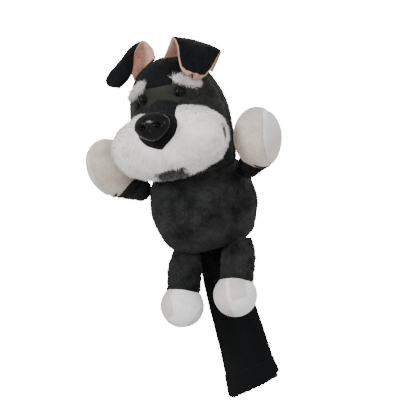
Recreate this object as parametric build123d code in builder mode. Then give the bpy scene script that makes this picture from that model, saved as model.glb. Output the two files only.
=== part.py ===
from build123d import *
from math import inf, sqrt
import os

# A plush terrier cover for the head of a golf driver. The club's head sits in a
# lined pocket inside the torso and head, and its shaft leaves down a knitted sock.
# Frame: +Z up the shaft, origin at the middle of the sock's mouth, the face to -Y.
# Millimetres. "Left" and "right" are as seen from in front, so left is -X.

# ---- Sock ------------------------------------------------------------------
SOCK_LENGTH = 198.0
CUFF_HEIGHT = 28.0
SOCK_WALL = 2.4
SOCK_LINING = 1.0
MOUTH_WIDTH, MOUTH_DEPTH = 77.0, 39.0
CUFF_TOP_WIDTH, CUFF_TOP_DEPTH = 71.0, 40.0
SOCK_TOP_WIDTH, SOCK_TOP_DEPTH = 54.0, 46.0
ELASTIC_BORE_RADIUS = 15.0
ELASTIC_HEIGHT = 12.0
ELASTIC_BELOW_SEAM = 4.0

# ---- Torso and head, round about the shaft ---------------------------------
TORSO_HEIGHT = 102.0
HEAD_HEIGHT = 155.0
SEAT_RADIUS = 52.0
BELLY_RADIUS = 71.0
BELLY_ABOVE_SEAT = 44.0
NECK_RADIUS = 57.0
HEAD_RADIUS = 66.0
HEAD_WIDEST_BELOW_TOP = 89.0
SKIN = 3.0
PADDING = 5.0
LINING = 1.0
POCKET_BELOW_TOP = 82.0
CROWN_SEAM_BELOW_TOP = 30.0

# ---- Muzzle, nose, eyes and brows ------------------------------------------
MUZZLE_HALF_WIDTH, MUZZLE_RADIUS = 76.0, 44.0
MUZZLE_FORWARD = 63.0
MUZZLE_BELOW_TOP = 103.0
MUZZLE_SKIN = 4.0
CHIN_HALF_WIDTH = 20.0
CHIN_BELOW_MIDDLE = 26.0
BRIDGE_RADIUS = 25.0
BRIDGE_FORWARD = 90.0
BRIDGE_ABOVE_MIDDLE = 22.0
NOSE_HALF_WIDTH, NOSE_HALF_HEIGHT, NOSE_BULGE = 25.0, 19.0, 12.0
NOSE_TILT = 25.0
NOSE_SHANK_RADIUS, NOSE_SHANK_LENGTH = 3.0, 15.0
NOSE_WASHER_RADIUS = 11.0
EYE_APART, EYE_BELOW_TOP = 52.0, 42.0
EYE_RADIUS, EYE_BULGE = 7.5, 5.5
EYE_SHANK_RADIUS, EYE_SHANK_LENGTH = 1.6, 12.0
EYE_WASHER_RADIUS = 6.0
WASHER_THICKNESS = 1.6
WASHER_STANDOFF = 1.5
PATCH_APART, PATCH_BELOW_TOP = 80.0, 48.0
PATCH_HALF_WIDTH, PATCH_HALF_HEIGHT, PATCH_BULGE = 8.5, 5.5, 2.0
BROW_APART, BROW_BELOW_TOP = 70.0, 32.0
BROW_HALF_LENGTH, BROW_RADIUS = 19.0, 6.5
BROW_SLOPE = 32.0

# ---- Ears ------------------------------------------------------------------
EAR_WIDTH = 62.0
EAR_RISE = 28.0
EAR_FLAP = 48.0
EAR_TIP_WIDTH = 30.0
EAR_FOLD_WIDTH = 14.0
EAR_FOLD_RADIUS = 5.0
EAR_CLOTH = 2.6
EAR_LINING = 1.6
EAR_ROOT_RADIUS = 3.0
EAR_OUT_LEFT, EAR_OUT_RIGHT = 25.0, 32.0
EAR_BACK_LEFT, EAR_BACK_RIGHT = 4.0, -1.0
EAR_TURN_LEFT, EAR_TURN_RIGHT = 45.0, 25.0
EAR_LEAN_LEFT, EAR_LEAN_RIGHT = 1.4, 1.05

# ---- Arms and legs ---------------------------------------------------------
LIMB_SKIN = 2.5
SHOULDER_BELOW_NECK = 15.0
SHOULDER_FORWARD = 8.0
SLEEVE_ROOT_RADIUS = 14.0
WRIST_RADIUS = 22.0
PAW_RADIUS, PAW_HALF_HEIGHT = 30.5, 40.0
PAW_CLEAR_OF_HEAD = 9.0
PAW_FORWARD = 22.0
PAW_ABOVE_SHOULDER = 44.0
PAW_TILT = 10.0
SOLE_DEPTH = 15.0
HIP_FORWARD = 31.0
HIP_APART = 76.0
HIP_SHIFT = 5.0
HIP_HALF_WIDTH, HIP_RADIUS = 17.0, 4.0
THIGH_HALF_WIDTH, THIGH_HALF_DEPTH = 21.0, 18.0
THIGH_BELOW_HIP = 30.0
FOOT_BELOW_HIP = 65.0
FOOT_LEAN = 16.0
FOOT_RADIUS = 28.5
FOOT_CLEAR_OF_SOCK = 2.0

GAP = 0.5        # between pieces on different bodies
SEAM_GAP = 0.05  # between layers of one body

# ---- Heights worked out from the sizes above -------------------------------
SEAT_Z = SOCK_LENGTH
BELLY_Z = SEAT_Z + BELLY_ABOVE_SEAT
NECK_Z = SEAT_Z + TORSO_HEIGHT
TOP_Z = NECK_Z + HEAD_HEIGHT
HEAD_Z = TOP_Z - HEAD_WIDEST_BELOW_TOP
HEAD_RISE = HEAD_WIDEST_BELOW_TOP
CROWN_SEAM_Z = TOP_Z - CROWN_SEAM_BELOW_TOP
MUZZLE_Z = TOP_Z - MUZZLE_BELOW_TOP
SPACE = 3 * TOP_Z  # larger than the whole cover, for cutting blocks

# Seen from the side, the torso is one arc and the head's lower half another.
torso_arc = ThreePointArc((SEAT_RADIUS, SEAT_Z), (BELLY_RADIUS, BELLY_Z), (NECK_RADIUS, NECK_Z))
torso_centre = torso_arc.arc_center
torso_round = torso_arc.radius
jaw_height = HEAD_Z - NECK_Z
jaw_step = HEAD_RADIUS - NECK_RADIUS
jaw_round = (jaw_height**2 + jaw_step**2) / (2 * jaw_step) if jaw_step else inf

HALF_RIGHT = Plane.XZ
HALF_LEFT = Plane((0, 0, 0), x_dir=(-1, 0, 0), z_dir=(0, 1, 0))

os.makedirs("parts", exist_ok=True)
written = []


def keep(builder, name):
    """Label a finished piece and write it as its own node."""
    builder.part.label = name
    export_step(builder.part, f"parts/{name}.step")
    written.append(name)


# ---- Half sections, right of the axis they are turned about -----------------
def window(low, high):
    """The strip to the right of the axis between two heights."""
    with BuildSketch() as strip:
        with Locations((0, low)):
            Rectangle(SPACE, high - low, align=(Align.MIN, Align.MIN))
    return strip.sketch


def disc_slice(centre, radius, low, high):
    """The part of a disc right of the axis and between two heights."""
    with BuildSketch() as part_disc:
        with Locations((centre[0], centre[1])):
            Circle(radius)
        add(window(low, high), mode=Mode.INTERSECT)
    return part_disc.sketch


def dome_section(radius, rise, inset, base=0):
    """Half of a dome: a side arc upright at the base, then a rounder cap,
    both moved in by inset."""
    side_round = rise**2 / radius
    cap_round = radius * (rise + radius) / (2 * rise)
    slope = (rise - cap_round) / (side_round - cap_round)
    join = base + (side_round - inset) * slope
    with BuildSketch() as half:
        add(disc_slice((radius - side_round, base), side_round - inset, base, join))
        add(disc_slice((0, base + rise - cap_round), cap_round - inset, join, base + rise + 1))
    return half.sketch


def torso_section(inset, low, high):
    """Half of the torso's section, moved in by inset."""
    return disc_slice((torso_centre.X, torso_centre.Y), torso_round - inset, low, high)


def jaw_section(inset):
    """Half of the lower head, upright at the widest point and curved to the neck."""
    if jaw_step > 0:
        return disc_slice((HEAD_RADIUS - jaw_round, HEAD_Z), jaw_round - inset, NECK_Z, HEAD_Z)
    with BuildSketch() as half:
        with Locations((0, HEAD_Z)):
            Rectangle(HEAD_RADIUS - jaw_step, jaw_height, align=(Align.MIN, Align.MAX))
        if jaw_step < 0:
            with Locations((HEAD_RADIUS - jaw_round, HEAD_Z)):
                Circle(inset - jaw_round, mode=Mode.SUBTRACT)
        else:
            with Locations((HEAD_RADIUS - inset, HEAD_Z)):
                Rectangle(inset + 1, jaw_height, align=(Align.MIN, Align.MAX), mode=Mode.SUBTRACT)
    return half.sketch


def head_section(inset, low, high):
    """Half of the head's section, moved in by inset."""
    with BuildSketch() as half:
        add(dome_section(HEAD_RADIUS, HEAD_RISE, inset, HEAD_Z))
        add(jaw_section(inset))
        add(window(low, high), mode=Mode.INTERSECT)
    return half.sketch


def pocket_section(inset, low):
    """Half of the pocket's section: the torso's shape, then a round-topped tube."""
    neck_reach = torso_centre.X + sqrt(
        (torso_round - inset) ** 2 - (NECK_Z - torso_centre.Y) ** 2
    )
    dome_z = TOP_Z - POCKET_BELOW_TOP + SKIN + PADDING - inset - neck_reach
    with BuildSketch() as half:
        add(disc_slice((0, dome_z), neck_reach, dome_z, TOP_Z))
        with Locations((0, NECK_Z)):
            Rectangle(neck_reach, dome_z - NECK_Z, align=(Align.MIN, Align.MIN))
        add(torso_section(inset, low, NECK_Z))
    return half.sketch


def turned(section, plane=HALF_RIGHT, arc=360):
    """Solid made by turning a half section about the shaft's axis."""
    with BuildPart() as solid:
        with BuildSketch(plane):
            add(section)
        revolve(axis=Axis.Z, revolution_arc=arc)
    return solid.part


# ---- Other shapes that several pieces share --------------------------------
def egg(place, radius, half_length, inset=0, wall=0):
    """Egg turned about a plane's normal; a wall above 0 leaves it hollow."""
    side_on = Plane(place.origin, x_dir=place.x_dir, z_dir=-place.y_dir)
    with BuildPart() as solid:
        with BuildSketch(side_on):
            add(dome_section(radius, half_length, inset))
            if wall:
                add(dome_section(radius, half_length, inset + wall), mode=Mode.SUBTRACT)
            mirror(about=Plane.XZ)
        revolve(axis=Axis(place.origin, place.z_dir))
    return solid.part


def rod(plane, radius, low, high):
    """Cylinder along a plane's normal, between two distances from it."""
    with BuildPart(plane.offset(low)) as solid:
        Cylinder(radius, high - low, align=(Align.CENTER, Align.CENTER, Align.MIN))
    return solid.part


def far_side(plane):
    """The block of space on the side of a plane that its normal points to."""
    with BuildPart(plane) as block:
        Box(SPACE, SPACE, SPACE, align=(Align.CENTER, Align.CENTER, Align.MIN))
    return block.part


def half_dome(plane, half_width, half_height, bulge):
    """Flat-backed button standing on a plane."""
    with BuildPart() as dome:
        Sphere(1, arc_size1=0, arc_size2=90, align=(Align.CENTER, Align.CENTER, Align.MIN))
        scale(by=(half_width, half_height, bulge))
    return dome.part.moved(plane.location)


def washer(plane, bore, radius, skin):
    """Locking washer round a shank, behind the skin."""
    far = -(skin + WASHER_STANDOFF + WASHER_THICKNESS)
    with BuildPart() as ring:
        add(rod(plane, radius, far, far + WASHER_THICKNESS))
        add(rod(plane, bore, far, far + WASHER_THICKNESS), mode=Mode.SUBTRACT)
    return ring.part


def sock_solid(inset, low=0):
    """The sock's tube as one solid, moved in by inset from its outer face."""
    rings = (
        (0, MOUTH_WIDTH, MOUTH_DEPTH),
        (CUFF_HEIGHT, CUFF_TOP_WIDTH, CUFF_TOP_DEPTH),
        (SEAT_Z, SOCK_TOP_WIDTH, SOCK_TOP_DEPTH),
    )
    with BuildPart() as solid:
        for z, width, depth in rings[low:]:
            with BuildSketch(Plane.XY.offset(z)):
                Ellipse(width / 2 - inset, depth / 2 - inset)
        loft(ruled=True)
    return solid.part


def head_plane(x, y=None, z=None):
    """Plane touching the upper head at x and z, in front, or at x and y, on top."""
    side_round = HEAD_RISE**2 / HEAD_RADIUS
    cap_round = HEAD_RADIUS * (HEAD_RISE + HEAD_RADIUS) / (2 * HEAD_RISE)
    cap_z = TOP_Z - cap_round
    side_x = HEAD_RADIUS - side_round
    if z is not None:
        reach = side_x + sqrt(side_round**2 - (z - HEAD_Z) ** 2)
        y = -sqrt(reach**2 - x**2)
        lift = (z - HEAD_Z) / side_round
    else:
        reach = sqrt(x**2 + y**2)
        z = cap_z + sqrt(cap_round**2 - reach**2)
        lift = (z - cap_z) / cap_round
    level = sqrt(1 - lift**2)
    out = Vector(x / reach * level, y / reach * level, lift)
    return Plane((x, y, z), x_dir=Vector(0, 0, 1).cross(out), z_dir=out)


# ---- Sock, cuff, lining and elastic ----------------------------------------
with BuildPart() as sock:
    add(sock_solid(0, 1))
    add(sock_solid(SOCK_WALL, 1), mode=Mode.SUBTRACT)
keep(sock, "sock")

with BuildPart() as sock_cuff:
    for inset, mode in ((0, Mode.ADD), (SOCK_WALL, Mode.SUBTRACT)):
        with BuildSketch():
            Ellipse(MOUTH_WIDTH / 2 - inset, MOUTH_DEPTH / 2 - inset)
        with BuildSketch(Plane.XY.offset(CUFF_HEIGHT)):
            Ellipse(CUFF_TOP_WIDTH / 2 - inset, CUFF_TOP_DEPTH / 2 - inset)
        loft(mode=mode)
keep(sock_cuff, "sock_cuff")

with BuildPart() as sock_lining:
    add(sock_solid(SOCK_WALL + SEAM_GAP))
    add(sock_solid(SOCK_WALL + SOCK_LINING), mode=Mode.SUBTRACT)
keep(sock_lining, "sock_lining")

elastic_top = SEAT_Z - ELASTIC_BELOW_SEAM
elastic_inset = SOCK_WALL + SOCK_LINING + SEAM_GAP
with BuildPart() as neck_elastic:
    with BuildSketch(Plane.XY.offset(elastic_top - ELASTIC_HEIGHT)):
        Ellipse(SOCK_TOP_WIDTH / 2 - elastic_inset, SOCK_TOP_DEPTH / 2 - elastic_inset - 1)
        Circle(ELASTIC_BORE_RADIUS, mode=Mode.SUBTRACT)
    extrude(amount=ELASTIC_HEIGHT)
keep(neck_elastic, "neck_elastic")

# ---- Torso and pocket ------------------------------------------------------
seat_top = SEAT_Z + SKIN
with BuildPart() as seat_panel:
    add(turned(torso_section(0, SEAT_Z, seat_top)))
    with BuildSketch(Plane.XY.offset(SEAT_Z)):
        Ellipse(SOCK_TOP_WIDTH / 2 - elastic_inset, SOCK_TOP_DEPTH / 2 - elastic_inset)
    extrude(amount=SKIN, mode=Mode.SUBTRACT)
keep(seat_panel, "seat_panel")

torso_skin = torso_section(0, seat_top, NECK_Z) - torso_section(SKIN, seat_top, NECK_Z)
with BuildPart() as torso_front:
    add(turned(torso_skin, HALF_LEFT, 180))
keep(torso_front, "torso_front")

with BuildPart() as torso_back:
    add(turned(torso_skin, HALF_RIGHT, 180))
keep(torso_back, "torso_back")

pocket_hollow = pocket_section(SKIN + PADDING, seat_top)
with BuildPart() as torso_padding:
    add(turned(torso_section(SKIN + SEAM_GAP, seat_top, NECK_Z) - pocket_hollow))
keep(torso_padding, "torso_padding")

lining_outside = pocket_section(SKIN + PADDING + SEAM_GAP, seat_top)
lining_inside = pocket_section(SKIN + PADDING + LINING, seat_top)
for side, half in (("front", HALF_LEFT), ("back", HALF_RIGHT)):
    with BuildPart() as pocket_lining:
        add(turned(lining_outside - lining_inside, half, 180))
    keep(pocket_lining, f"pocket_lining_{side}")

# ---- Where the face's fittings sit -----------------------------------------
muzzle_middle = Vector(0, -MUZZLE_FORWARD, MUZZLE_Z)
muzzle_place = Plane(muzzle_middle, x_dir=(0, 0, 1), z_dir=(1, 0, 0))
bridge_end = Vector(0, -BRIDGE_FORWARD, MUZZLE_Z + BRIDGE_ABOVE_MIDDLE)
bridge_place = Plane(bridge_end, x_dir=(1, 0, 0), z_dir=(0, 1, 0))
nose_out = Vector(0, -1, 0).rotate(Axis.X, -NOSE_TILT)
nose_plane = Plane(bridge_end + nose_out * BRIDGE_RADIUS, x_dir=(1, 0, 0), z_dir=nose_out)

eye_planes = {
    "left": head_plane(-EYE_APART / 2, z=TOP_Z - EYE_BELOW_TOP),
    "right": head_plane(EYE_APART / 2, z=TOP_Z - EYE_BELOW_TOP),
}


def fitting_room(plane, shank_radius, shank_length, washer_radius, skin):
    """Room behind a fitting for its shank and its washer."""
    washer_far = -(skin + WASHER_STANDOFF + WASHER_THICKNESS) - SEAM_GAP
    with BuildPart() as room:
        add(rod(plane, shank_radius + SEAM_GAP, -shank_length - SEAM_GAP, 1))
        add(rod(plane, washer_radius + SEAM_GAP, washer_far, 1))
    return room.part


bridge_inside = BRIDGE_RADIUS - SKIN
nose_skin = BRIDGE_RADIUS - sqrt(bridge_inside**2 - NOSE_WASHER_RADIUS**2)
nose_room = fitting_room(
    nose_plane, NOSE_SHANK_RADIUS, NOSE_SHANK_LENGTH, NOSE_WASHER_RADIUS, nose_skin
)
eye_rooms = [
    fitting_room(plane, EYE_SHANK_RADIUS, EYE_SHANK_LENGTH, EYE_WASHER_RADIUS, SKIN)
    for plane in eye_planes.values()
]

# ---- Head panels and stuffing ----------------------------------------------
with BuildPart() as crown_panel:
    add(turned(head_section(0, CROWN_SEAM_Z, TOP_Z) - head_section(SKIN, CROWN_SEAM_Z, TOP_Z)))
keep(crown_panel, "crown_panel")

head_skin = head_section(0, NECK_Z, CROWN_SEAM_Z) - head_section(SKIN, NECK_Z, CROWN_SEAM_Z)
with BuildPart() as face_panel:
    add(turned(head_skin, HALF_LEFT, 180))
    for plane in eye_planes.values():
        add(rod(plane, EYE_SHANK_RADIUS + SEAM_GAP, -EYE_SHANK_LENGTH, 1), mode=Mode.SUBTRACT)
keep(face_panel, "face_panel")

with BuildPart() as head_back:
    add(turned(head_skin, HALF_RIGHT, 180))
keep(head_back, "head_back")

with BuildPart() as head_stuffing:
    add(turned(head_section(SKIN + SEAM_GAP, NECK_Z, TOP_Z) - pocket_hollow))
    for room in eye_rooms:
        add(room, mode=Mode.SUBTRACT)
keep(head_stuffing, "head_stuffing")


# ---- Muzzle ----------------------------------------------------------------
def bridge_solid(grow):
    """Round-ended snout between the face and the nose, grown all over."""
    with BuildPart() as snout:
        add(rod(bridge_place, BRIDGE_RADIUS + grow, 0, BRIDGE_FORWARD))
        with Locations(bridge_end):
            Sphere(BRIDGE_RADIUS + grow)
    return snout.part


def muzzle_solid(grow):
    """Egg across the face that both cheeks wrap, grown all over."""
    return egg(muzzle_place, MUZZLE_RADIUS, MUZZLE_HALF_WIDTH, -grow)


head_core = turned(head_section(-SEAM_GAP, NECK_Z, TOP_Z + 1))

with BuildPart() as muzzle_bridge:
    add(bridge_solid(0))
    add(bridge_solid(-SKIN), mode=Mode.SUBTRACT)
    add(muzzle_solid(SEAM_GAP), mode=Mode.SUBTRACT)
    add(head_core, mode=Mode.SUBTRACT)
    add(rod(nose_plane, NOSE_SHANK_RADIUS + SEAM_GAP, -NOSE_SHANK_LENGTH, 1), mode=Mode.SUBTRACT)
keep(muzzle_bridge, "muzzle_bridge")

with BuildPart() as cheek_skin:
    add(egg(muzzle_place, MUZZLE_RADIUS, MUZZLE_HALF_WIDTH, wall=MUZZLE_SKIN))
    add(head_core, mode=Mode.SUBTRACT)
    add(bridge_solid(SEAM_GAP), mode=Mode.SUBTRACT)

with BuildPart() as chin_zone:
    with Locations((0, 0, MUZZLE_Z - CHIN_BELOW_MIDDLE)):
        Box(2 * CHIN_HALF_WIDTH, SPACE, SPACE, align=(Align.CENTER, Align.CENTER, Align.MAX))

with BuildPart() as chin:
    add(cheek_skin.part)
    add(chin_zone.part, mode=Mode.INTERSECT)
keep(chin, "chin")

for side, facing in (("left", -Plane.YZ), ("right", Plane.YZ)):
    with BuildPart() as cheek:
        add(cheek_skin.part)
        add(chin_zone.part, mode=Mode.SUBTRACT)
        add(far_side(facing), mode=Mode.INTERSECT)
    keep(cheek, f"cheek_{side}")

with BuildPart() as muzzle_stuffing:
    add(muzzle_solid(-MUZZLE_SKIN - SEAM_GAP))
    add(bridge_solid(-SKIN - SEAM_GAP))
    add(head_core, mode=Mode.SUBTRACT)
    add(nose_room, mode=Mode.SUBTRACT)
keep(muzzle_stuffing, "muzzle_stuffing")

# ---- Nose, eyes, patches and brows -----------------------------------------
with BuildPart() as nose:
    add(half_dome(nose_plane, NOSE_HALF_WIDTH, NOSE_HALF_HEIGHT, NOSE_BULGE))
    add(rod(nose_plane, NOSE_SHANK_RADIUS, -NOSE_SHANK_LENGTH, 1))
keep(nose, "nose")

with BuildPart() as nose_washer:
    add(washer(nose_plane, NOSE_SHANK_RADIUS + SEAM_GAP, NOSE_WASHER_RADIUS, nose_skin))
keep(nose_washer, "nose_washer")

for side, plane in eye_planes.items():
    with BuildPart() as eye:
        add(half_dome(plane, EYE_RADIUS, EYE_RADIUS, EYE_BULGE))
        add(rod(plane, EYE_SHANK_RADIUS, -EYE_SHANK_LENGTH, 1))
    keep(eye, f"eye_{side}")

    with BuildPart() as eye_washer:
        add(washer(plane, EYE_SHANK_RADIUS + SEAM_GAP, EYE_WASHER_RADIUS, SKIN))
    keep(eye_washer, f"eye_washer_{side}")

for side, sign in (("left", -1), ("right", 1)):
    patch_plane = head_plane(sign * PATCH_APART / 2, z=TOP_Z - PATCH_BELOW_TOP)
    with BuildPart() as eye_patch:
        add(half_dome(patch_plane, PATCH_HALF_WIDTH, PATCH_HALF_HEIGHT, PATCH_BULGE))
    keep(eye_patch, f"eye_patch_{side}")

    brow_plane = head_plane(sign * BROW_APART / 2, z=TOP_Z - BROW_BELOW_TOP)
    along = brow_plane.x_dir.rotate(Axis((0, 0, 0), brow_plane.z_dir), -sign * BROW_SLOPE)
    with BuildPart() as brow:
        add(
            egg(
                Plane(brow_plane.origin, x_dir=brow_plane.z_dir, z_dir=along),
                BROW_RADIUS,
                BROW_HALF_LENGTH,
            )
        )
        add(head_core, mode=Mode.SUBTRACT)
    keep(brow, f"brow_{side}")


# ---- Ears ------------------------------------------------------------------
def ear_path(inward, flap_lean):
    """The ear's path seen from its side: up, over the fold and down in front.
    Each corner is moved inward from the outer face."""
    lean = Vector(flap_lean, -1).normalized()
    flap_side = Vector(lean.Y, -lean.X)
    fold_end = Vector(EAR_FOLD_WIDTH, EAR_RISE)
    down = Vector(0, -1)
    turn = (down + flap_side) * (inward / (1 + down.dot(flap_side)))
    tip = fold_end + lean * EAR_FLAP + flap_side * inward
    return [
        (inward, 0),
        (inward, EAR_RISE - inward),
        (fold_end.X + turn.X, fold_end.Y + turn.Y),
        (tip.X, tip.Y),
    ]


def ear_strip(plane, flap_lean, inward, thickness):
    """One layer of the ear's cloth along its path, its flap narrowed to the tip."""
    with BuildPart() as strip:
        with BuildSketch(plane):
            with BuildLine():
                FilletPolyline(*ear_path(inward, flap_lean), radius=EAR_FOLD_RADIUS - inward)
            trace(line_width=thickness)
        extrude(amount=EAR_WIDTH / 2, both=True)
        half = EAR_WIDTH / 2
        front = Plane(plane.origin, x_dir=-plane.z_dir, z_dir=plane.x_dir)
        for side in (-1, 1):
            with BuildSketch(front.offset(EAR_FOLD_WIDTH)):
                Polygon(
                    (side * half * 1.1, EAR_RISE - EAR_FOLD_WIDTH),
                    (side * half, EAR_RISE - EAR_FOLD_WIDTH),
                    (side * EAR_TIP_WIDTH / 2, EAR_RISE - EAR_FLAP),
                    (side * half * 1.1, EAR_RISE - EAR_FLAP),
                    align=None,
                )
            extrude(amount=2 * EAR_FLAP, mode=Mode.SUBTRACT)
    return strip.part


ears = (
    ("left", -1, EAR_OUT_LEFT, EAR_BACK_LEFT, EAR_TURN_LEFT, EAR_LEAN_LEFT),
    ("right", 1, EAR_OUT_RIGHT, EAR_BACK_RIGHT, EAR_TURN_RIGHT, EAR_LEAN_RIGHT),
)
for side, sign, out, back, turn_out, flap_lean in ears:
    seat = head_plane(sign * out, y=back)
    up = seat.z_dir
    ahead = (Vector(0, -1, 0) - up * up.dot(Vector(0, -1, 0))).normalized()
    ahead = ahead.rotate(Axis((0, 0, 0), up), sign * turn_out)
    root = seat.origin + up * (EAR_ROOT_RADIUS + GAP)
    ear_plane = Plane(root, x_dir=ahead, z_dir=ahead.cross(up))

    with BuildPart() as ear_outer:
        add(ear_strip(ear_plane, flap_lean, EAR_CLOTH / 2, EAR_CLOTH))
        add(rod(ear_plane, EAR_ROOT_RADIUS, -EAR_WIDTH / 2, EAR_WIDTH / 2))
    keep(ear_outer, f"ear_{side}_outer")

    with BuildPart() as ear_lining:
        add(ear_strip(ear_plane, flap_lean, EAR_CLOTH + SEAM_GAP + EAR_LINING / 2, EAR_LINING))
        add(
            rod(ear_plane, EAR_ROOT_RADIUS + SEAM_GAP, -EAR_WIDTH, EAR_WIDTH),
            mode=Mode.SUBTRACT,
        )
    keep(ear_lining, f"ear_{side}_lining")


# ---- Arms ------------------------------------------------------------------
def sleeve_solid(root, wrist, inset):
    """Round-shouldered cone from the shoulder to the wrist, moved in by inset."""
    along = (wrist - root).normalized()
    with BuildPart() as solid:
        with BuildSketch(Plane(root, z_dir=along)):
            Circle(SLEEVE_ROOT_RADIUS - inset)
        with BuildSketch(Plane(wrist, z_dir=along)):
            Circle(WRIST_RADIUS - inset)
        loft()
        with Locations(root):
            Sphere(SLEEVE_ROOT_RADIUS - inset)
    return solid.part


shoulder_z = NECK_Z - SHOULDER_BELOW_NECK
shoulder_rise = shoulder_z - torso_centre.Y
shoulder_reach = torso_centre.X + sqrt(torso_round**2 - shoulder_rise**2)
shoulder_x = sqrt(shoulder_reach**2 - SHOULDER_FORWARD**2)
shoulder_slope = shoulder_rise / torso_round

for side, sign in (("left", -1), ("right", 1)):
    level_out = Vector(sign * shoulder_x, -SHOULDER_FORWARD, 0).normalized()
    skin_out = level_out * sqrt(1 - shoulder_slope**2) + Vector(0, 0, shoulder_slope)
    skin_point = level_out * shoulder_reach + Vector(0, 0, shoulder_z)
    root = skin_point + skin_out * (SLEEVE_ROOT_RADIUS + GAP)
    paw_x = sign * (HEAD_RADIUS + PAW_CLEAR_OF_HEAD + PAW_RADIUS)
    paw_middle = Vector(paw_x, -PAW_FORWARD, shoulder_z + PAW_ABOVE_SHOULDER)
    paw_up = Vector(0, 0, 1).rotate(Axis.Y, sign * PAW_TILT)
    paw_place = Plane(paw_middle, x_dir=(0, -1, 0), z_dir=paw_up)
    wrist = paw_middle - paw_up * PAW_HALF_HEIGHT / 2

    with BuildPart() as sleeve:
        add(sleeve_solid(root, wrist, 0))
        add(sleeve_solid(root, wrist, LIMB_SKIN), mode=Mode.SUBTRACT)
        add(egg(paw_place, PAW_RADIUS, PAW_HALF_HEIGHT, -SEAM_GAP), mode=Mode.SUBTRACT)
    keep(sleeve, f"sleeve_{side}")

    with BuildPart() as sleeve_stuffing:
        add(sleeve_solid(root, wrist, LIMB_SKIN + SEAM_GAP))
        add(egg(paw_place, PAW_RADIUS, PAW_HALF_HEIGHT, -SEAM_GAP), mode=Mode.SUBTRACT)
    keep(sleeve_stuffing, f"sleeve_stuffing_{side}")

    sole_plane = Plane(
        paw_middle + Vector(sign * (PAW_RADIUS - SOLE_DEPTH), 0, 0), z_dir=(sign, 0, 0)
    )
    with BuildPart() as paw:
        add(egg(paw_place, PAW_RADIUS, PAW_HALF_HEIGHT, wall=LIMB_SKIN))
        add(far_side(sole_plane), mode=Mode.SUBTRACT)
    keep(paw, f"paw_{side}")

    with BuildPart() as paw_sole:
        add(egg(paw_place, PAW_RADIUS, PAW_HALF_HEIGHT, wall=LIMB_SKIN))
        add(far_side(sole_plane), mode=Mode.INTERSECT)
    keep(paw_sole, f"paw_sole_{side}")

    with BuildPart() as paw_stuffing:
        add(egg(paw_place, PAW_RADIUS, PAW_HALF_HEIGHT, LIMB_SKIN + SEAM_GAP))
    keep(paw_stuffing, f"paw_stuffing_{side}")


# ---- Legs ------------------------------------------------------------------
def leg_solid(hip, ankle, inset):
    """Tube from the flat hip seam to the ankle, moved in by inset."""
    along = (ankle - hip).normalized()
    start = Plane(hip, x_dir=Vector(1, 0, 0), z_dir=along)
    with BuildPart() as solid:
        with BuildSketch(start.offset(inset)):
            Ellipse(HIP_HALF_WIDTH - inset, HIP_RADIUS - inset)
        with BuildSketch(start.offset(THIGH_BELOW_HIP)):
            Ellipse(THIGH_HALF_WIDTH - inset, THIGH_HALF_DEPTH - inset)
        with BuildSketch(start.offset((ankle - hip).length)):
            Ellipse(THIGH_HALF_WIDTH - inset, THIGH_HALF_DEPTH - inset)
        loft(ruled=True)
    return solid.part


hip_z = SEAT_Z - HIP_RADIUS - GAP
sock_front = SOCK_TOP_DEPTH / 2
for side, sign in (("left", -1), ("right", 1)):
    hip = Vector(HIP_SHIFT + sign * HIP_APART / 2, -HIP_FORWARD, hip_z)
    foot_y = -(sock_front + FOOT_CLEAR_OF_SOCK + FOOT_RADIUS)
    foot_middle = Vector(hip.X - FOOT_LEAN, foot_y, hip_z - FOOT_BELOW_HIP)
    ankle = hip + (foot_middle - hip) * 0.75

    with BuildPart() as leg:
        add(leg_solid(hip, ankle, 0))
        add(
            rod(
                Plane(hip, z_dir=(1, 0, 0)),
                HIP_RADIUS,
                -HIP_HALF_WIDTH + 1,
                HIP_HALF_WIDTH - 1,
            )
        )
        add(leg_solid(hip, ankle, LIMB_SKIN), mode=Mode.SUBTRACT)
        with Locations(foot_middle):
            Sphere(FOOT_RADIUS + SEAM_GAP, mode=Mode.SUBTRACT)
    keep(leg, f"leg_{side}")

    with BuildPart() as leg_stuffing:
        add(leg_solid(hip, ankle, LIMB_SKIN + SEAM_GAP))
        with Locations(foot_middle):
            Sphere(FOOT_RADIUS + SEAM_GAP, mode=Mode.SUBTRACT)
    keep(leg_stuffing, f"leg_stuffing_{side}")

    with BuildPart() as foot:
        with Locations(foot_middle):
            Sphere(FOOT_RADIUS)
            Sphere(FOOT_RADIUS - LIMB_SKIN, mode=Mode.SUBTRACT)
    keep(foot, f"foot_{side}")

    with BuildPart() as foot_stuffing:
        with Locations(foot_middle):
            Sphere(FOOT_RADIUS - LIMB_SKIN - SEAM_GAP)
    keep(foot_stuffing, f"foot_stuffing_{side}")

print("pieces written:", len(written))
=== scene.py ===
import math
import bpy
import numpy as np
from mathutils import Matrix, Vector


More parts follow.
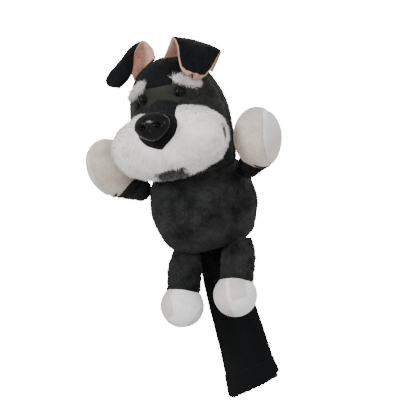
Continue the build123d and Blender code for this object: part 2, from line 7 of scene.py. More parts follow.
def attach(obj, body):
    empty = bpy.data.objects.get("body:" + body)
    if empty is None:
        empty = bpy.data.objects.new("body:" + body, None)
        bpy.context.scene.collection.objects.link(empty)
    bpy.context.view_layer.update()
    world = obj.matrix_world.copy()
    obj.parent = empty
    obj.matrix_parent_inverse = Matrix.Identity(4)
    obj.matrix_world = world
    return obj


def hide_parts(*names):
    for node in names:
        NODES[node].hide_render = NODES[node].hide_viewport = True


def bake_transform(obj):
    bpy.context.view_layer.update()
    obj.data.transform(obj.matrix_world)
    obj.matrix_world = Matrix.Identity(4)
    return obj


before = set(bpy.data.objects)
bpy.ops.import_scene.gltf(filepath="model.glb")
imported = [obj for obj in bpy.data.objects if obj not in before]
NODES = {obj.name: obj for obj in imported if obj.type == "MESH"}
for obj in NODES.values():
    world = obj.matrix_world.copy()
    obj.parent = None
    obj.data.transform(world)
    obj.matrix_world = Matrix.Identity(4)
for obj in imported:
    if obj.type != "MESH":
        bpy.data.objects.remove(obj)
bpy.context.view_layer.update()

# Sizes shared with the frame, in metres.
SEAT_Z, NECK_Z, TOP_Z = 0.198, 0.300, 0.455
HEAD_R, HEAD_Z = 0.066, 0.366
HEAD_RISE = TOP_Z - HEAD_Z
TORSO_C, TORSO_R = (-0.01330, 0.25226), 0.08494
MUZZLE = np.array([0.0, -0.063, 0.352])
NOSE_AT = np.array([0.0, -0.11266, 0.38457])
NOSE_OUT = np.array([0.0, -math.cos(math.radians(25)), math.sin(math.radians(25))])
MUZZLE_R, MUZZLE_HALF = 0.044, 0.076
BRIDGE_R, BRIDGE_Z, BRIDGE_LENGTH, BRIDGE_WIDE = 0.0245, 0.374, 0.045, 1.14
CROWN_Z = 0.4250
EYE_X, EYE_Z, PATCH_X, PATCH_Z, EYE_CLEAR = 0.026, 0.413, 0.040, 0.407, 0.0085
SHOULDER_X, SHOULDER_Y, SHOULDER_Z = 0.0778891, -0.00964498, 0.290574
PAW_AT = {"left": np.array([-0.1050, -0.022, 0.330]), "right": np.array([0.1035, -0.022, 0.327])}
PAW_TILT = 10
FOOT_R = 0.0274
SOCK_TOP, HEM_Z = 0.198, 0.028
RIBS = 72
PLUSH = 0.0012
TURN = 2 * math.pi
SIDES = (("left", -1), ("right", 1))


# ---- Numbers: noise, normals and grids --------------------------------------
def hash01(ix, iy, iz, seed):
    h = (ix * 374761393 + iy * 668265263 + iz * 1274126177 + seed * 974711) & 0xFFFFFFFF
    h = ((h ^ (h >> 13)) * 1103515245) & 0xFFFFFFFF
    return ((h ^ (h >> 16)) & 0xFFFF) / 65535.0


def noise3(p, size, seed=0):
    """Smooth noise from -1 to 1 at points p, with features about size across."""
    q = np.asarray(p, float) / size
    i = np.floor(q).astype(np.int64)
    f = q - i
    f = f * f * (3 - 2 * f)
    total = 0
    for dx in (0, 1):
        for dy in (0, 1):
            for dz in (0, 1):
                w = (
                    (f[..., 0] if dx else 1 - f[..., 0])
                    * (f[..., 1] if dy else 1 - f[..., 1])
                    * (f[..., 2] if dz else 1 - f[..., 2])
                )
                total = total + w * hash01(i[..., 0] + dx, i[..., 1] + dy, i[..., 2] + dz, seed)
    return total * 2 - 1


def unit(v):
    v = np.asarray(v, float)
    return v / np.maximum(np.linalg.norm(v, axis=-1, keepdims=True), 1e-12)


def grid_normals(p, close_u=False):
    """Normals of a grid of points, pointing along dP/du x dP/dv."""
    if close_u:
        du = np.roll(p, -1, 0) - np.roll(p, 1, 0)
    else:
        du = np.gradient(p, axis=0)
    dv = np.gradient(p, axis=1)
    return unit(np.cross(du, dv))


def slanted(p):
    """Points turned so that their first axis runs along the torso's pulled folds."""
    x, y, z = p[..., 0], p[..., 1], p[..., 2]
    return np.stack([0.85 * x + 0.5 * z, y, 0.85 * z - 0.5 * x], -1)


def around(count):
    return np.linspace(0, TURN, count, endpoint=False)


def grid(u, v):
    return np.meshgrid(u, v, indexing="ij")


def make_mesh(name, verts, faces):
    mesh = bpy.data.meshes.new(name)
    mesh.from_pydata(np.asarray(verts).tolist(), [], faces)
    mesh.validate()
    mesh.polygons.foreach_set("use_smooth", [True] * len(mesh.polygons))
    mesh.update()
    obj = bpy.data.objects.new(name, mesh)
    bpy.context.scene.collection.objects.link(obj)
    return obj


def grid_faces(nu, nv, close_u=False):
    faces = []
    for i in range(nu if close_u else nu - 1):
        j = (i + 1) % nu
        for k in range(nv - 1):
            faces.append((i * nv + k, j * nv + k, j * nv + k + 1, i * nv + k + 1))
    return faces


def shell(name, p, thickness, close_u=False):
    """Closed cloth: a grid of outer points and the same grid moved in by thickness."""
    n = grid_normals(p, close_u)
    nu, nv = p.shape[:2]
    inner = p - n * thickness
    verts = np.concatenate([p.reshape(-1, 3), inner.reshape(-1, 3)])
    off = nu * nv
    outer_faces = grid_faces(nu, nv, close_u)
    faces = list(outer_faces)
    faces += [tuple(off + v for v in reversed(f)) for f in outer_faces]
    for i in range(nu if close_u else nu - 1):
        j = (i + 1) % nu
        faces.append((j * nv, i * nv, off + i * nv, off + j * nv))
        a, b = i * nv + nv - 1, j * nv + nv - 1
        faces.append((a, b, off + b, off + a))
    if not close_u:
        for k in range(nv - 1):
            faces.append((k, k + 1, off + k + 1, off + k))
            a = (nu - 1) * nv
            faces.append((a + k + 1, a + k, off + a + k, off + a + k + 1))
    return make_mesh(name, verts, faces)


def crease(p, a, b, width, depth):
    """Depth of a groove with raised sides along the segment from a to b."""
    a, b = np.array(a), np.array(b)
    d = b - a
    t = np.clip(((p - a) @ d) / (d @ d), 0, 1)
    dist = np.linalg.norm(p - (a + t[..., None] * d), axis=-1)
    fade = 1 - 0.75 * t
    x = dist / width
    return fade * depth * (-np.exp(-(x**2)) + 0.55 * np.exp(-((x - 1.9) ** 2)))


# ---- Materials ---------------------------------------------------------------
def nodes_of(name):
    mat = bpy.data.materials.new(name)
    mat.use_nodes = True
    tree = mat.node_tree
    bsdf = tree.nodes["Principled BSDF"]
    coord = tree.nodes.new("ShaderNodeTexCoord")
    return mat, tree, bsdf, coord.outputs["Object"]


def add_noise(tree, coord, scale, detail=3.0, rough=0.55, stretch=None):
    if stretch:
        m = tree.nodes.new("ShaderNodeMapping")
        m.inputs["Scale"].default_value = stretch
        tree.links.new(coord, m.inputs["Vector"])
        coord = m.outputs["Vector"]
    n = tree.nodes.new("ShaderNodeTexNoise")
    n.inputs["Scale"].default_value = scale
    n.inputs["Detail"].default_value = detail
    n.inputs["Roughness"].default_value = rough
    tree.links.new(coord, n.inputs["Vector"])
    return n.outputs["Fac"]


def ramp(tree, fac, stops):
    r = tree.nodes.new("ShaderNodeValToRGB")
    while len(r.color_ramp.elements) < len(stops):
        r.color_ramp.elements.new(0.5)
    for e, (pos, col) in zip(r.color_ramp.elements, stops):
        e.position = pos
        e.color = (*col, 1)
    tree.links.new(fac, r.inputs["Fac"])
    return r.outputs["Color"]


def math_node(tree, op, a, b, c=None):
    m = tree.nodes.new("ShaderNodeMath")
    m.operation = op
    for i, v in enumerate([a, b] if c is None else [a, b, c]):
        if isinstance(v, (int, float)):
            m.inputs[i].default_value = v
        else:
            tree.links.new(v, m.inputs[i])
    return m.outputs[0]


def bump(tree, bsdf, height, strength, distance):
    b = tree.nodes.new("ShaderNodeBump")
    b.inputs["Strength"].default_value = strength
    b.inputs["Distance"].default_value = distance
    tree.links.new(height, b.inputs["Height"])
    tree.links.new(b.outputs["Normal"], bsdf.inputs["Normal"])


def soft_finish(bsdf, rough, specular, sheen, sheen_rough, tint):
    bsdf.inputs["Roughness"].default_value = rough
    bsdf.inputs["Specular IOR Level"].default_value = specular
    bsdf.inputs["Sheen Weight"].default_value = sheen
    bsdf.inputs["Sheen Roughness"].default_value = sheen_rough
    bsdf.inputs["Sheen Tint"].default_value = (*tint, 1)


def plush(name, dark, light, sheen=0.5, tint=(1, 1, 1), pile=900, strength=0.55):
    """Short dense pile: large patches, fine fibres, and sheen at glancing angles; on the
    charcoal rows the large patches are painted sheen and painted shade of the brushed nap.
    """
    mat, tree, bsdf, coord = nodes_of(name)
    big = add_noise(tree, coord, 30, 3, 0.6)
    fine = add_noise(tree, coord, pile, 2, 0.7, (1, 1, 0.35))
    mix = math_node(tree, "MULTIPLY_ADD", fine, 0.4, math_node(tree, "MULTIPLY", big, 0.6))
    mid = tuple((a + b) / 2 for a, b in zip(dark, light))
    col = ramp(tree, mix, [(0.39, dark), (0.5, mid), (0.61, light)])
    tree.links.new(col, bsdf.inputs["Base Color"])
    soft_finish(bsdf, 0.92, 0.15, sheen, 0.45, tint)
    height = math_node(tree, "ADD", fine, math_node(tree, "MULTIPLY", big, 0.4))
    bump(tree, bsdf, height, strength, 0.0012)
    return mat


def face_plush(name):
    """Charcoal pile with a lighter greenish patch between and above the eyes, partly the panel's
    own tone and partly painted sheen of the nap.
    """
    mat, tree, bsdf, coord = nodes_of(name)
    big = add_noise(tree, coord, 30, 3, 0.6)
    fine = add_noise(tree, coord, 900, 2, 0.7, (1, 1, 0.35))
    mix = math_node(tree, "MULTIPLY_ADD", fine, 0.5, math_node(tree, "MULTIPLY", big, 0.5))
    # The spread between the dark and light ends of both ramps is painted sheen and painted shade
    # of the nap.
    dark = ramp(tree, mix, [(0.38, (0.0016, 0.0017, 0.0018)), (0.64, (0.021, 0.023, 0.0205))])
    olive_tone_and_sheen = ramp(tree, mix, [(0.33, (0.013, 0.0132, 0.011)), (0.68, (0.033, 0.0335, 0.028))])
    # Mask of the lighter patch between and above the eyes: painted sheen of the nap over the
    # panel's own greenish-grey.
    xyz = tree.nodes.new("ShaderNodeSeparateXYZ")
    tree.links.new(coord, xyz.inputs[0])
    wide = math_node(tree, "ABSOLUTE", xyz.outputs["X"], 0.0)
    arch = math_node(tree, "MULTIPLY_ADD", wide, -0.25, xyz.outputs["Z"])
    parts = []
    for value, low, high in ((wide, 0.032, 0.0305), (arch, 0.3965, 0.398)):
        edge = tree.nodes.new("ShaderNodeMapRange")
        edge.inputs["From Min"].default_value = low
        edge.inputs["From Max"].default_value = high
        tree.links.new(value, edge.inputs["Value"])
        parts.append(edge.outputs["Result"])
    panel_sheen_blend = tree.nodes.new("ShaderNodeMix")
    panel_sheen_blend.data_type = "RGBA"
    tree.links.new(math_node(tree, "MULTIPLY", *parts), panel_sheen_blend.inputs["Factor"])
    # Sockets 6 and 7 and output 2 are the node's colour pair.
    tree.links.new(dark, panel_sheen_blend.inputs[6])
    tree.links.new(olive_tone_and_sheen, panel_sheen_blend.inputs[7])
    tree.links.new(panel_sheen_blend.outputs[2], bsdf.inputs["Base Color"])
    soft_finish(bsdf, 0.9, 0.15, 0.15, 0.45, OLIVE)
    height = math_node(tree, "ADD", fine, math_node(tree, "MULTIPLY", big, 0.4))
    bump(tree, bsdf, height, 0.5, 0.0012)
    return mat


def pile_material(name, dark, light, sheen=0.35, tint=(1, 1, 1)):
    """The fibres themselves, varied from tuft to tuft; on the charcoal rows the large patches
    are painted sheen and painted shade of the brushed nap.
    """
    mat, tree, bsdf, coord = nodes_of(name)
    patch = add_noise(tree, coord, 30, 3, 0.6)
    strand = add_noise(tree, coord, 420, 1, 0.5)
    mix = math_node(tree, "MULTIPLY_ADD", strand, 0.35, math_node(tree, "MULTIPLY", patch, 0.65))
    mid = tuple((a + b) / 2 for a, b in zip(dark, light))
    col = ramp(tree, mix, [(0.4, dark), (0.5, mid), (0.6, light)])
    tree.links.new(col, bsdf.inputs["Base Color"])
    soft_finish(bsdf, 0.8, 0.2, sheen, 0.4, tint)
    return mat


def woven(name, dark, light, scale=1400):
    mat, tree, bsdf, coord = nodes_of(name)
    waves = []
    for axis in ("Z", "X"):
        w = tree.nodes.new("ShaderNodeTexWave")
        w.bands_direction = axis
        w.inputs["Scale"].default_value = scale / 6.0
        w.inputs["Distortion"].default_value = 0.6
        tree.links.new(coord, w.inputs["Vector"])
        waves.append(w.outputs["Fac"])
    weave = math_node(tree, "MULTIPLY", waves[0], waves[1])
    patch = add_noise(tree, coord, 60)
    mix = math_node(tree, "MULTIPLY_ADD", weave, 0.5, math_node(tree, "MULTIPLY", patch, 0.5))
    tree.links.new(ramp(tree, mix, [(0.2, dark), (0.7, light)]), bsdf.inputs["Base Color"])
    bsdf.inputs["Roughness"].default_value = 0.75
    bump(tree, bsdf, weave, 0.3, 0.0004)
    return mat


def knit(name, dark, light):
    """Fine knit: columns of stitches on ribs that the mesh already has."""
    mat, tree, bsdf, coord = nodes_of(name)
    w = tree.nodes.new("ShaderNodeTexWave")
    w.bands_direction = "Z"
    w.inputs["Scale"].default_value = 120
    w.inputs["Distortion"].default_value = 1.2
    w.inputs["Detail"].default_value = 1
    tree.links.new(coord, w.inputs["Vector"])
    fuzz = add_noise(tree, coord, 1100, 2, 0.7)
    patch = add_noise(tree, coord, 30, 3, 0.6)
    mix = math_node(tree, "MULTIPLY", fuzz, 0.35)
    mix = math_node(tree, "MULTIPLY_ADD", w.outputs["Fac"], 0.3, mix)
    mix = math_node(tree, "MULTIPLY_ADD", patch, 0.35, mix)
    tree.links.new(ramp(tree, mix, [(0.3, dark), (0.75, light)]), bsdf.inputs["Base Color"])
    bsdf.inputs["Roughness"].default_value = 0.95
    bsdf.inputs["Specular IOR Level"].default_value = 0.12
    bsdf.inputs["Sheen Weight"].default_value = 0.06
    bsdf.inputs["Sheen Roughness"].default_value = 0.5
    height = math_node(tree, "ADD", w.outputs["Fac"], fuzz)
    bump(tree, bsdf, height, 0.5, 0.0006)
    return mat


def plastic(name, colour, rough):
    """Moulded plastic with a faint haze and very little reflection."""
    mat, tree, bsdf, coord = nodes_of(name)
    cloud = add_noise(tree, coord, 90, 3, 0.6)
    low = tuple(c * 0.7 for c in colour)
    high = tuple(min(1, c * 1.35 + 0.004) for c in colour)
    tree.links.new(ramp(tree, cloud, [(0.3, low), (0.7, high)]), bsdf.inputs["Base Color"])
    haze = add_noise(tree, coord, 240, 4, 0.6)
    haze = math_node(tree, "MULTIPLY_ADD", haze, 0.12, rough - 0.05)
    tree.links.new(haze, bsdf.inputs["Roughness"])
    bsdf.inputs["Specular IOR Level"].default_value = 0.12
    bump(tree, bsdf, add_noise(tree, coord, 700, 2, 0.5), 0.04, 0.0004)
    return mat


PALE = ("white", "brow", "cream", "foot")
OLIVE = (0.62, 0.68, 0.58)
SLATE = (0.6, 0.65, 0.75)
# Near-black dark end of the charcoal ramps; the spread up to their light ends is painted sheen
# and painted shade of the nap.
CHARCOAL = (0.0008, 0.0009, 0.0011)
M = {}
for maker, rows in (
    (plush, {
        # The charcoal plush's range from near black to its light end paints the nap's sheen and
        # shade into its colour.
        "charcoal_plush": (CHARCOAL, (0.024, 0.0255, 0.0245), 0.05, OLIVE),
        "black_plush": ((0.0012, 0.0012, 0.0015), (0.0045, 0.0048, 0.0056), 0.06, SLATE),
        "dark_plush": ((0.008, 0.01, 0.008), (0.035, 0.04, 0.033), 0.25, OLIVE),
        "white_shag": ((0.78, 0.74, 0.72), (0.92, 0.89, 0.88), 0.3, (1, 1, 1), 500),
        "brow_shag": ((0.5, 0.48, 0.46), (0.8, 0.78, 0.76), 0.3),
        "cream_plush": ((0.42, 0.35, 0.29), (0.66, 0.58, 0.5), 0.35, (1, 1, 1), 900, 0.4),
        "white_plush": ((0.54, 0.49, 0.465), (0.72, 0.68, 0.66), 0.3, (1, 1, 1), 900, 0.35),
        "pink_plush": ((0.36, 0.19, 0.13), (0.68, 0.42, 0.32), 0.3, (1, 1, 1), 900, 0.35),
        "patch_felt": ((0.003, 0.003, 0.0035), (0.014, 0.014, 0.016), 0.15, (1, 1, 1), 1500),
        "padding_foam": ((0.55, 0.55, 0.52), (0.8, 0.8, 0.77), 0.1),
        "fibre_fill": ((0.7, 0.7, 0.69), (0.9, 0.9, 0.89), 0.2, (1, 1, 1), 250),
    }),
    (face_plush, {"grey_plush": (), "grey_pile": ()}),
    (pile_material, {
        # The charcoal pile's range from near black to its light end paints the nap's sheen and
        # shade into its colour.
        "charcoal_pile": (CHARCOAL, (0.028, 0.030, 0.0285), 0.05, OLIVE),
        "black_pile": ((0.0014, 0.0014, 0.0017), (0.0055, 0.0058, 0.0066), 0.06, SLATE),
        "dark_pile": ((0.012, 0.014, 0.011), (0.05, 0.055, 0.045)),
        "white_pile": ((0.84, 0.8, 0.78), (0.97, 0.95, 0.94)),
        "brow_pile": ((0.42, 0.395, 0.38), (0.72, 0.69, 0.67)),
        "cream_pile": ((0.46, 0.39, 0.33), (0.72, 0.64, 0.56)),
        "foot_pile": ((0.56, 0.51, 0.485), (0.74, 0.7, 0.68)),
    }),
    (plastic, {
        "nose_plastic": ((0.0016, 0.0016, 0.002), 0.16),
        "eye_plastic": ((0.0014, 0.0013, 0.0012), 0.1),
        "washer_plastic": ((0.6, 0.6, 0.58), 0.5),
    }),
    (knit, {"sock_knit": ((0.0008, 0.0009, 0.0012), (0.003, 0.0033, 0.0045))}),
    (woven, {
        "lining_cloth": ((0.01, 0.01, 0.012), (0.035, 0.035, 0.04)),
        "elastic": ((0.008, 0.008, 0.009), (0.03, 0.03, 0.032), 900),
    }),
):
    for material_name, values in rows.items():
        M[material_name] = maker(material_name, *values)


def dress(obj, material, body, replaced=()):
    obj.data.materials.clear()
    obj.data.materials.append(M[material])
    if body:
        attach(obj, body)
    if replaced:
        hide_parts(*replaced)
    return obj


# ---- Fur made of real tapered tufts -----------------------------------------
SEGMENTS = 2
ROOT_DEPTH = 0.0006


def roots_on(objs, count, seed):
    """Points and normals spread evenly over the outside of some meshes."""
    rng = np.random.default_rng(seed)
    tris, norms = [], []
    for obj in objs:
        mesh = obj.data
        mesh.calc_loop_triangles()
        co = np.empty(len(mesh.vertices) * 3)
        mesh.vertices.foreach_get("co", co)
        co = co.reshape(-1, 3)
        no = np.empty(len(mesh.vertices) * 3)
        mesh.vertex_normals.foreach_get("vector", no)
        no = no.reshape(-1, 3)
        t = np.empty(len(mesh.loop_triangles) * 3, np.int64)
        mesh.loop_triangles.foreach_get("vertices", t)
        t = t.reshape(-1, 3)
        tris.append(co[t])
        norms.append(no[t])
    tris, norms = np.concatenate(tris), np.concatenate(norms)
    area = np.linalg.norm(np.cross(tris[:, 1] - tris[:, 0], tris[:, 2] - tris[:, 0]), axis=1)
    pick = rng.choice(len(tris), count, p=area / area.sum())
    r = rng.random((count, 2))
    flip = r.sum(1) > 1
    r[flip] = 1 - r[flip]
    w = np.stack([1 - r.sum(1), r[:, 0], r[:, 1]], 1)[..., None]
    return (tris[pick] * w).sum(1), unit((norms[pick] * w).sum(1)), rng


def fur(name, objs, count, length, width, comb, lean, seed, material, body, slot,
        where=None, mess=0.25, curl=0.25, size_at=None, sway=0.0):
    """A mesh of tapered tufts that lean along comb(points) and curl at the tip."""
    p, n, rng = roots_on(objs, count, seed)
    if where is not None:
        keep = where(p, n)
        p, n = p[keep], n[keep]
    c = comb(p)
    c = c - n * (c * n).sum(1, keepdims=True)
    c = unit(c)
    jitter = rng.normal(0, mess, p.shape)
    clump = np.stack([noise3(p, 0.006, seed + k) for k in range(3)], 1) * mess * 1.6
    d = unit(n * (1 - lean) + c * lean + jitter + clump)
    size = length * (0.65 + 0.7 * rng.random(len(p)))[:, None]
    if size_at is not None:
        size = size * size_at(p)[:, None]
    side = unit(np.cross(d, rng.normal(0, 1, p.shape)))
    # Each tuft turns its front away from the body.
    inside = (np.cross(side, d) * n).sum(1, keepdims=True) < 0
    side = np.where(inside, -side, side)
    rows = [p - n * ROOT_DEPTH]
    step = size / SEGMENTS
    direction = d
    for s in range(SEGMENTS):
        rows.append(rows[-1] + direction * step)
        direction = unit(direction + c * curl + jitter * 0.3)
    m = len(p)
    half = width * (0.7 + 0.6 * rng.random(m))[:, None] / 2
    verts, faces = [], []
    for s in range(SEGMENTS):
        w = half * (1 - 0.55 * s / SEGMENTS)
        verts += [rows[s] - side * w, rows[s] + side * w]
    verts.append(rows[-1])
    verts = np.concatenate(verts)
    idx = np.arange(m)
    for s in range(SEGMENTS - 1):
        a, b = idx + 2 * s * m, idx + (2 * s + 1) * m
        c2, d2 = idx + (2 * s + 2) * m, idx + (2 * s + 3) * m
        faces.append(np.stack([a, b, d2], 1))
        faces.append(np.stack([a, d2, c2], 1))
    a, b = idx + 2 * (SEGMENTS - 1) * m, idx + (2 * SEGMENTS - 1) * m
    faces.append(np.stack([a, b, idx + 2 * SEGMENTS * m], 1))
    faces = np.concatenate(faces)
    mesh = bpy.data.meshes.new(name)
    mesh.vertices.add(len(verts))
    mesh.vertices.foreach_set("co", verts.ravel())
    mesh.loops.add(len(faces) * 3)
    mesh.loops.foreach_set("vertex_index", faces.ravel().astype(np.int32))
    mesh.polygons.add(len(faces))
    mesh.polygons.foreach_set("loop_start", np.arange(0, len(faces) * 3, 3, dtype=np.int32))
    mesh.polygons.foreach_set("use_smooth", np.ones(len(faces), bool))
    mesh.update(calc_edges=True)
    mesh.validate()
    soft = n * 0.9 + d * 0.08 + rng.normal(0, 0.17, p.shape)
    if sway:
        # Brushed patches of the nap lie in different directions.
        q = slanted(p) * [0.4, 0.6, 1]
        soft = soft + sway * np.stack([noise3(q, 0.016, 200 + k) for k in range(3)], 1)
    soft = unit(soft)
    normals = np.tile(soft, (2 * SEGMENTS + 1, 1))
    mesh.normals_split_custom_set_from_vertices(normals.tolist())
    obj = bpy.data.objects.new(name, mesh)
    bpy.context.scene.collection.objects.link(obj)
    # Thin fibres let light through, so the pale ones shade only by their own slope.
    obj.visible_shadow = not material.startswith(PALE)
    return dress(obj, material, body)


def toward(v):
    v = np.array(v, float)
    return lambda p: np.tile(v, (len(p), 1))


# ---- Torso -------------------------------------------------------------------
def torso_radius(z):
    return TORSO_C[0] + np.sqrt(np.maximum(TORSO_R**2 - (z - TORSO_C[1]) ** 2, 0))


def torso_folds(p):
    """How far each torso point moves out: pulled folds from the armpits, and dents.

    The limits keep the padding hidden and the outline close to the sewn pattern.
    """
    d = 0.0016 * noise3(slanted(p) * [0.35, 0.5, 1], 0.014, 3) + 0.0004 * noise3(p, 0.014, 4)
    folds = []
    for s in (-1, 1):
        for end, width, depth in (((0.012, -0.068, 0.262), 0.0045, 0.0018),
                                  ((0.022, -0.066, 0.240), 0.0050, 0.0018),
                                  ((0.038, -0.058, 0.222), 0.0050, 0.0017),
                                  ((0.015, 0.068, 0.262), 0.0045, 0.0017),
                                  ((0.030, 0.062, 0.232), 0.0050, 0.0015)):
            arm = (0.060 * s, math.copysign(0.030, end[1]), 0.283)
            folds.append(crease(p, arm, (end[0] * s, end[1], end[2]), width, depth))
    for start, end, depth in (((-0.055, -0.045, 0.250), (0.02, -0.070, 0.232), 0.0014),
                              ((0.062, -0.030, 0.236), (0.018, -0.069, 0.214), 0.0015),
                              ((-0.050, -0.045, 0.214), (0.012, -0.066, 0.222), 0.0015)):
        folds.append(crease(p, start, end, 0.005, depth))
    d = d + np.min(folds, 0) + np.max(folds, 0)
    return np.clip(1.2 * d - 0.0003, -0.0014, 0.0018)


def torso_half(name, start):
    u = np.linspace(start, start + math.pi, 190)
    v = np.linspace(0, 1, 110)
    z = SEAT_Z + (NECK_Z + 0.0015 - SEAT_Z) * v
    uu, zz = grid(u, z)
    r = torso_radius(zz)
    r = r - 0.0035 * np.exp(-(((zz - SEAT_Z) / 0.0035) ** 2))
    r = r - 0.003 * np.clip((zz - 0.2965) / 0.005, 0, 1) ** 2
    p = np.stack([r * np.cos(uu), r * np.sin(uu), zz], -1)
    out = np.stack([np.cos(uu), np.sin(uu), 0 * uu], -1)
    seam = np.minimum(np.abs(uu - start), np.abs(uu - start - math.pi))
    pull = -0.0016 * np.exp(-((seam * r / 0.0028) ** 2))
    pucker = 0.0004 * np.sin(zz * 1500) * np.exp(-((seam * r / 0.008) ** 2))
    p = p + out * np.maximum(torso_folds(p) + pull + pucker, -0.0015)[..., None]
    return shell(name, p, PLUSH)


torso_front = torso_half("torso_front_plush", -math.pi)
torso_back = torso_half("torso_back_plush", 0.0)
dress(torso_front, "charcoal_plush", "cover", ["torso_front"])
dress(torso_back, "charcoal_plush", "cover", ["torso_back"])


def seat():
    """The panel under the torso, gathered round the sock."""
    u = around(240)
    v = np.linspace(0, 1, 30)
    uu, vv = grid(u, v)
    rx, ry = 0.0262, 0.0222
    inner = rx * ry / np.sqrt((ry * np.cos(uu)) ** 2 + (rx * np.sin(uu)) ** 2)
    r = 0.0500 + (inner - 0.0500) * vv
    sunk = 0.0026 * np.sin(np.pi * np.minimum(vv * 1.6, 1) / 2)
    z = 0.1992 - sunk + 0.0004 * np.sin(uu * 26) * vv
    p = np.stack([r * np.cos(uu), r * np.sin(uu), z], -1)
    return shell("seat_plush", p, -0.0012, True)


dress(seat(), "charcoal_plush", "cover", ["seat_panel"])


# ---- Head --------------------------------------------------------------------
SIDE_ROUND = HEAD_RISE**2 / HEAD_R
CAP_ROUND = HEAD_R * (HEAD_RISE + HEAD_R) / (2 * HEAD_RISE)
JAW_ROUND = ((HEAD_Z - NECK_Z) ** 2 + 0.009**2) / 0.018
JOIN_Z = HEAD_Z + SIDE_ROUND * (HEAD_RISE - CAP_ROUND) / (SIDE_ROUND - CAP_ROUND)


def head_radius(z):
    z = np.asarray(z, float)
    jaw = HEAD_R - JAW_ROUND + np.sqrt(np.maximum(JAW_ROUND**2 - (z - HEAD_Z) ** 2, 0))
    side = HEAD_R - SIDE_ROUND + np.sqrt(np.maximum(SIDE_ROUND**2 - (z - HEAD_Z) ** 2, 0))
    cap = np.sqrt(np.maximum(CAP_ROUND**2 - (z - (TOP_Z - CAP_ROUND)) ** 2, 0))
    return np.where(z < HEAD_Z, jaw, np.where(z < JOIN_Z, side, cap))


def head_point(x, z):
    """(point, normal) on the front of the head."""
    r = float(head_radius(z))
    y = -math.sqrt(r * r - x * x)
    e = 1e-4
    slope = (float(head_radius(z + e)) - float(head_radius(z - e))) / (2 * e)
    n = unit(np.array([x / r, y / r, -slope]))
    return np.array([x, y, z]), n


def head_folds(p):
    d = 0.0009 * noise3(p, 0.03, 11) + 0.0005 * noise3(p, 0.012, 12)
    for s in (-1, 1):
        socket = np.linalg.norm(p - [0.026 * s, -0.052, 0.413], axis=-1)
        ridge = np.linalg.norm(p - [0.034 * s, -0.044, 0.428], axis=-1)
        d = d - 0.0022 * np.exp(-(socket / 0.011) ** 2)
        d = d + 0.0016 * np.exp(-(ridge / 0.012) ** 2)
    d = d + crease(p, (-0.02, -0.05, 0.430), (0.02, -0.05, 0.432), 0.003, 0.0012)
    return d


def head_half(name, start):
    u = np.linspace(start, start + math.pi, 190)
    z = np.linspace(NECK_Z - 0.0005, 0.4252, 110)
    uu, zz = grid(u, z)
    r = head_radius(zz)
    r = r - 0.003 * np.clip((0.3045 - zz) / 0.005, 0, 1) ** 2
    r = r - 0.0012 * np.exp(-(((zz - 0.4252) / 0.0018) ** 2))
    p = np.stack([r * np.cos(uu), r * np.sin(uu), zz], -1)
    out = np.stack([np.cos(uu), np.sin(uu), 0 * uu], -1)
    seam = np.minimum(np.abs(uu - start), np.abs(uu - start - math.pi))
    pull = -0.0014 * np.exp(-((seam * r / 0.0025) ** 2))
    p = p + out * (head_folds(p) + pull)[..., None]
    return shell(name, p, PLUSH)


face = head_half("face_plush", -math.pi)
back_head = head_half("head_back_plush", 0.0)
dress(face, "grey_plush", "cover", ["face_panel"])
dress(back_head, "charcoal_plush", "cover", ["head_back"])


def crown():
    u = around(260)
    v = np.linspace(0, 1, 60)
    uu, vv = grid(u, v)
    zz = CROWN_Z + (TOP_Z - CROWN_Z) * np.sin(vv * math.pi / 2) * 0.9999
    r = head_radius(zz) * (1 - 1e-3)
    r = r - 0.0012 * np.exp(-(((zz - CROWN_Z) / 0.0016) ** 2))
    p = np.stack([r * np.cos(uu), r * np.sin(uu), zz], -1)
    n = unit(p - np.array([0, 0, 0.39]))
    p = p + n * (0.0008 * noise3(p, 0.026, 21))[..., None]
    return shell("crown_plush", p, PLUSH, True)


crown_obj = crown()
dress(crown_obj, "black_plush", "cover", ["crown_panel"])


# ---- Muzzle ------------------------------------------------------------------
def egg_radius(x, radius, half_length):
    """Section radius of the two-arc egg at x along its axis."""
    side = half_length**2 / radius
    cap = radius * (half_length + radius) / (2 * half_length)
    join = side * (half_length - cap) / (side - cap)
    x = np.abs(np.asarray(x, float))
    body = radius - side + np.sqrt(np.maximum(side**2 - x**2, 0))
    end = np.sqrt(np.maximum(cap**2 - (x - (half_length - cap)) ** 2, 0))
    return np.where(x < join, body, end)


def cheek(name, s):
    """One stuffed cheek, fullest at its side and pulled in at the parting."""
    u = around(150)
    t = np.linspace(0, 1, 90)
    x = 0.0738 * np.sin(t * math.pi / 2)
    uu, xx = grid(u, x)
    r = egg_radius(xx, MUZZLE_R, MUZZLE_HALF)
    front = np.clip(-np.cos(uu), 0, 1)
    r = r - 0.005 * np.exp(-((xx / 0.006) ** 2)) * front
    p = np.stack([s * xx, MUZZLE[1] + r * np.cos(uu), MUZZLE[2] + r * np.sin(uu)], -1)
    c = p - MUZZLE
    p = p + unit(c) * (0.0012 * noise3(p, 0.02, 31))[..., None]
    return shell(name, p if s < 0 else p[::-1], 0.0015, True)


cheeks = {side: cheek(f"cheek_{side}_base", s) for side, s in SIDES}
for side, obj in cheeks.items():
    dress(obj, "white_shag", "cover", [f"cheek_{side}"])


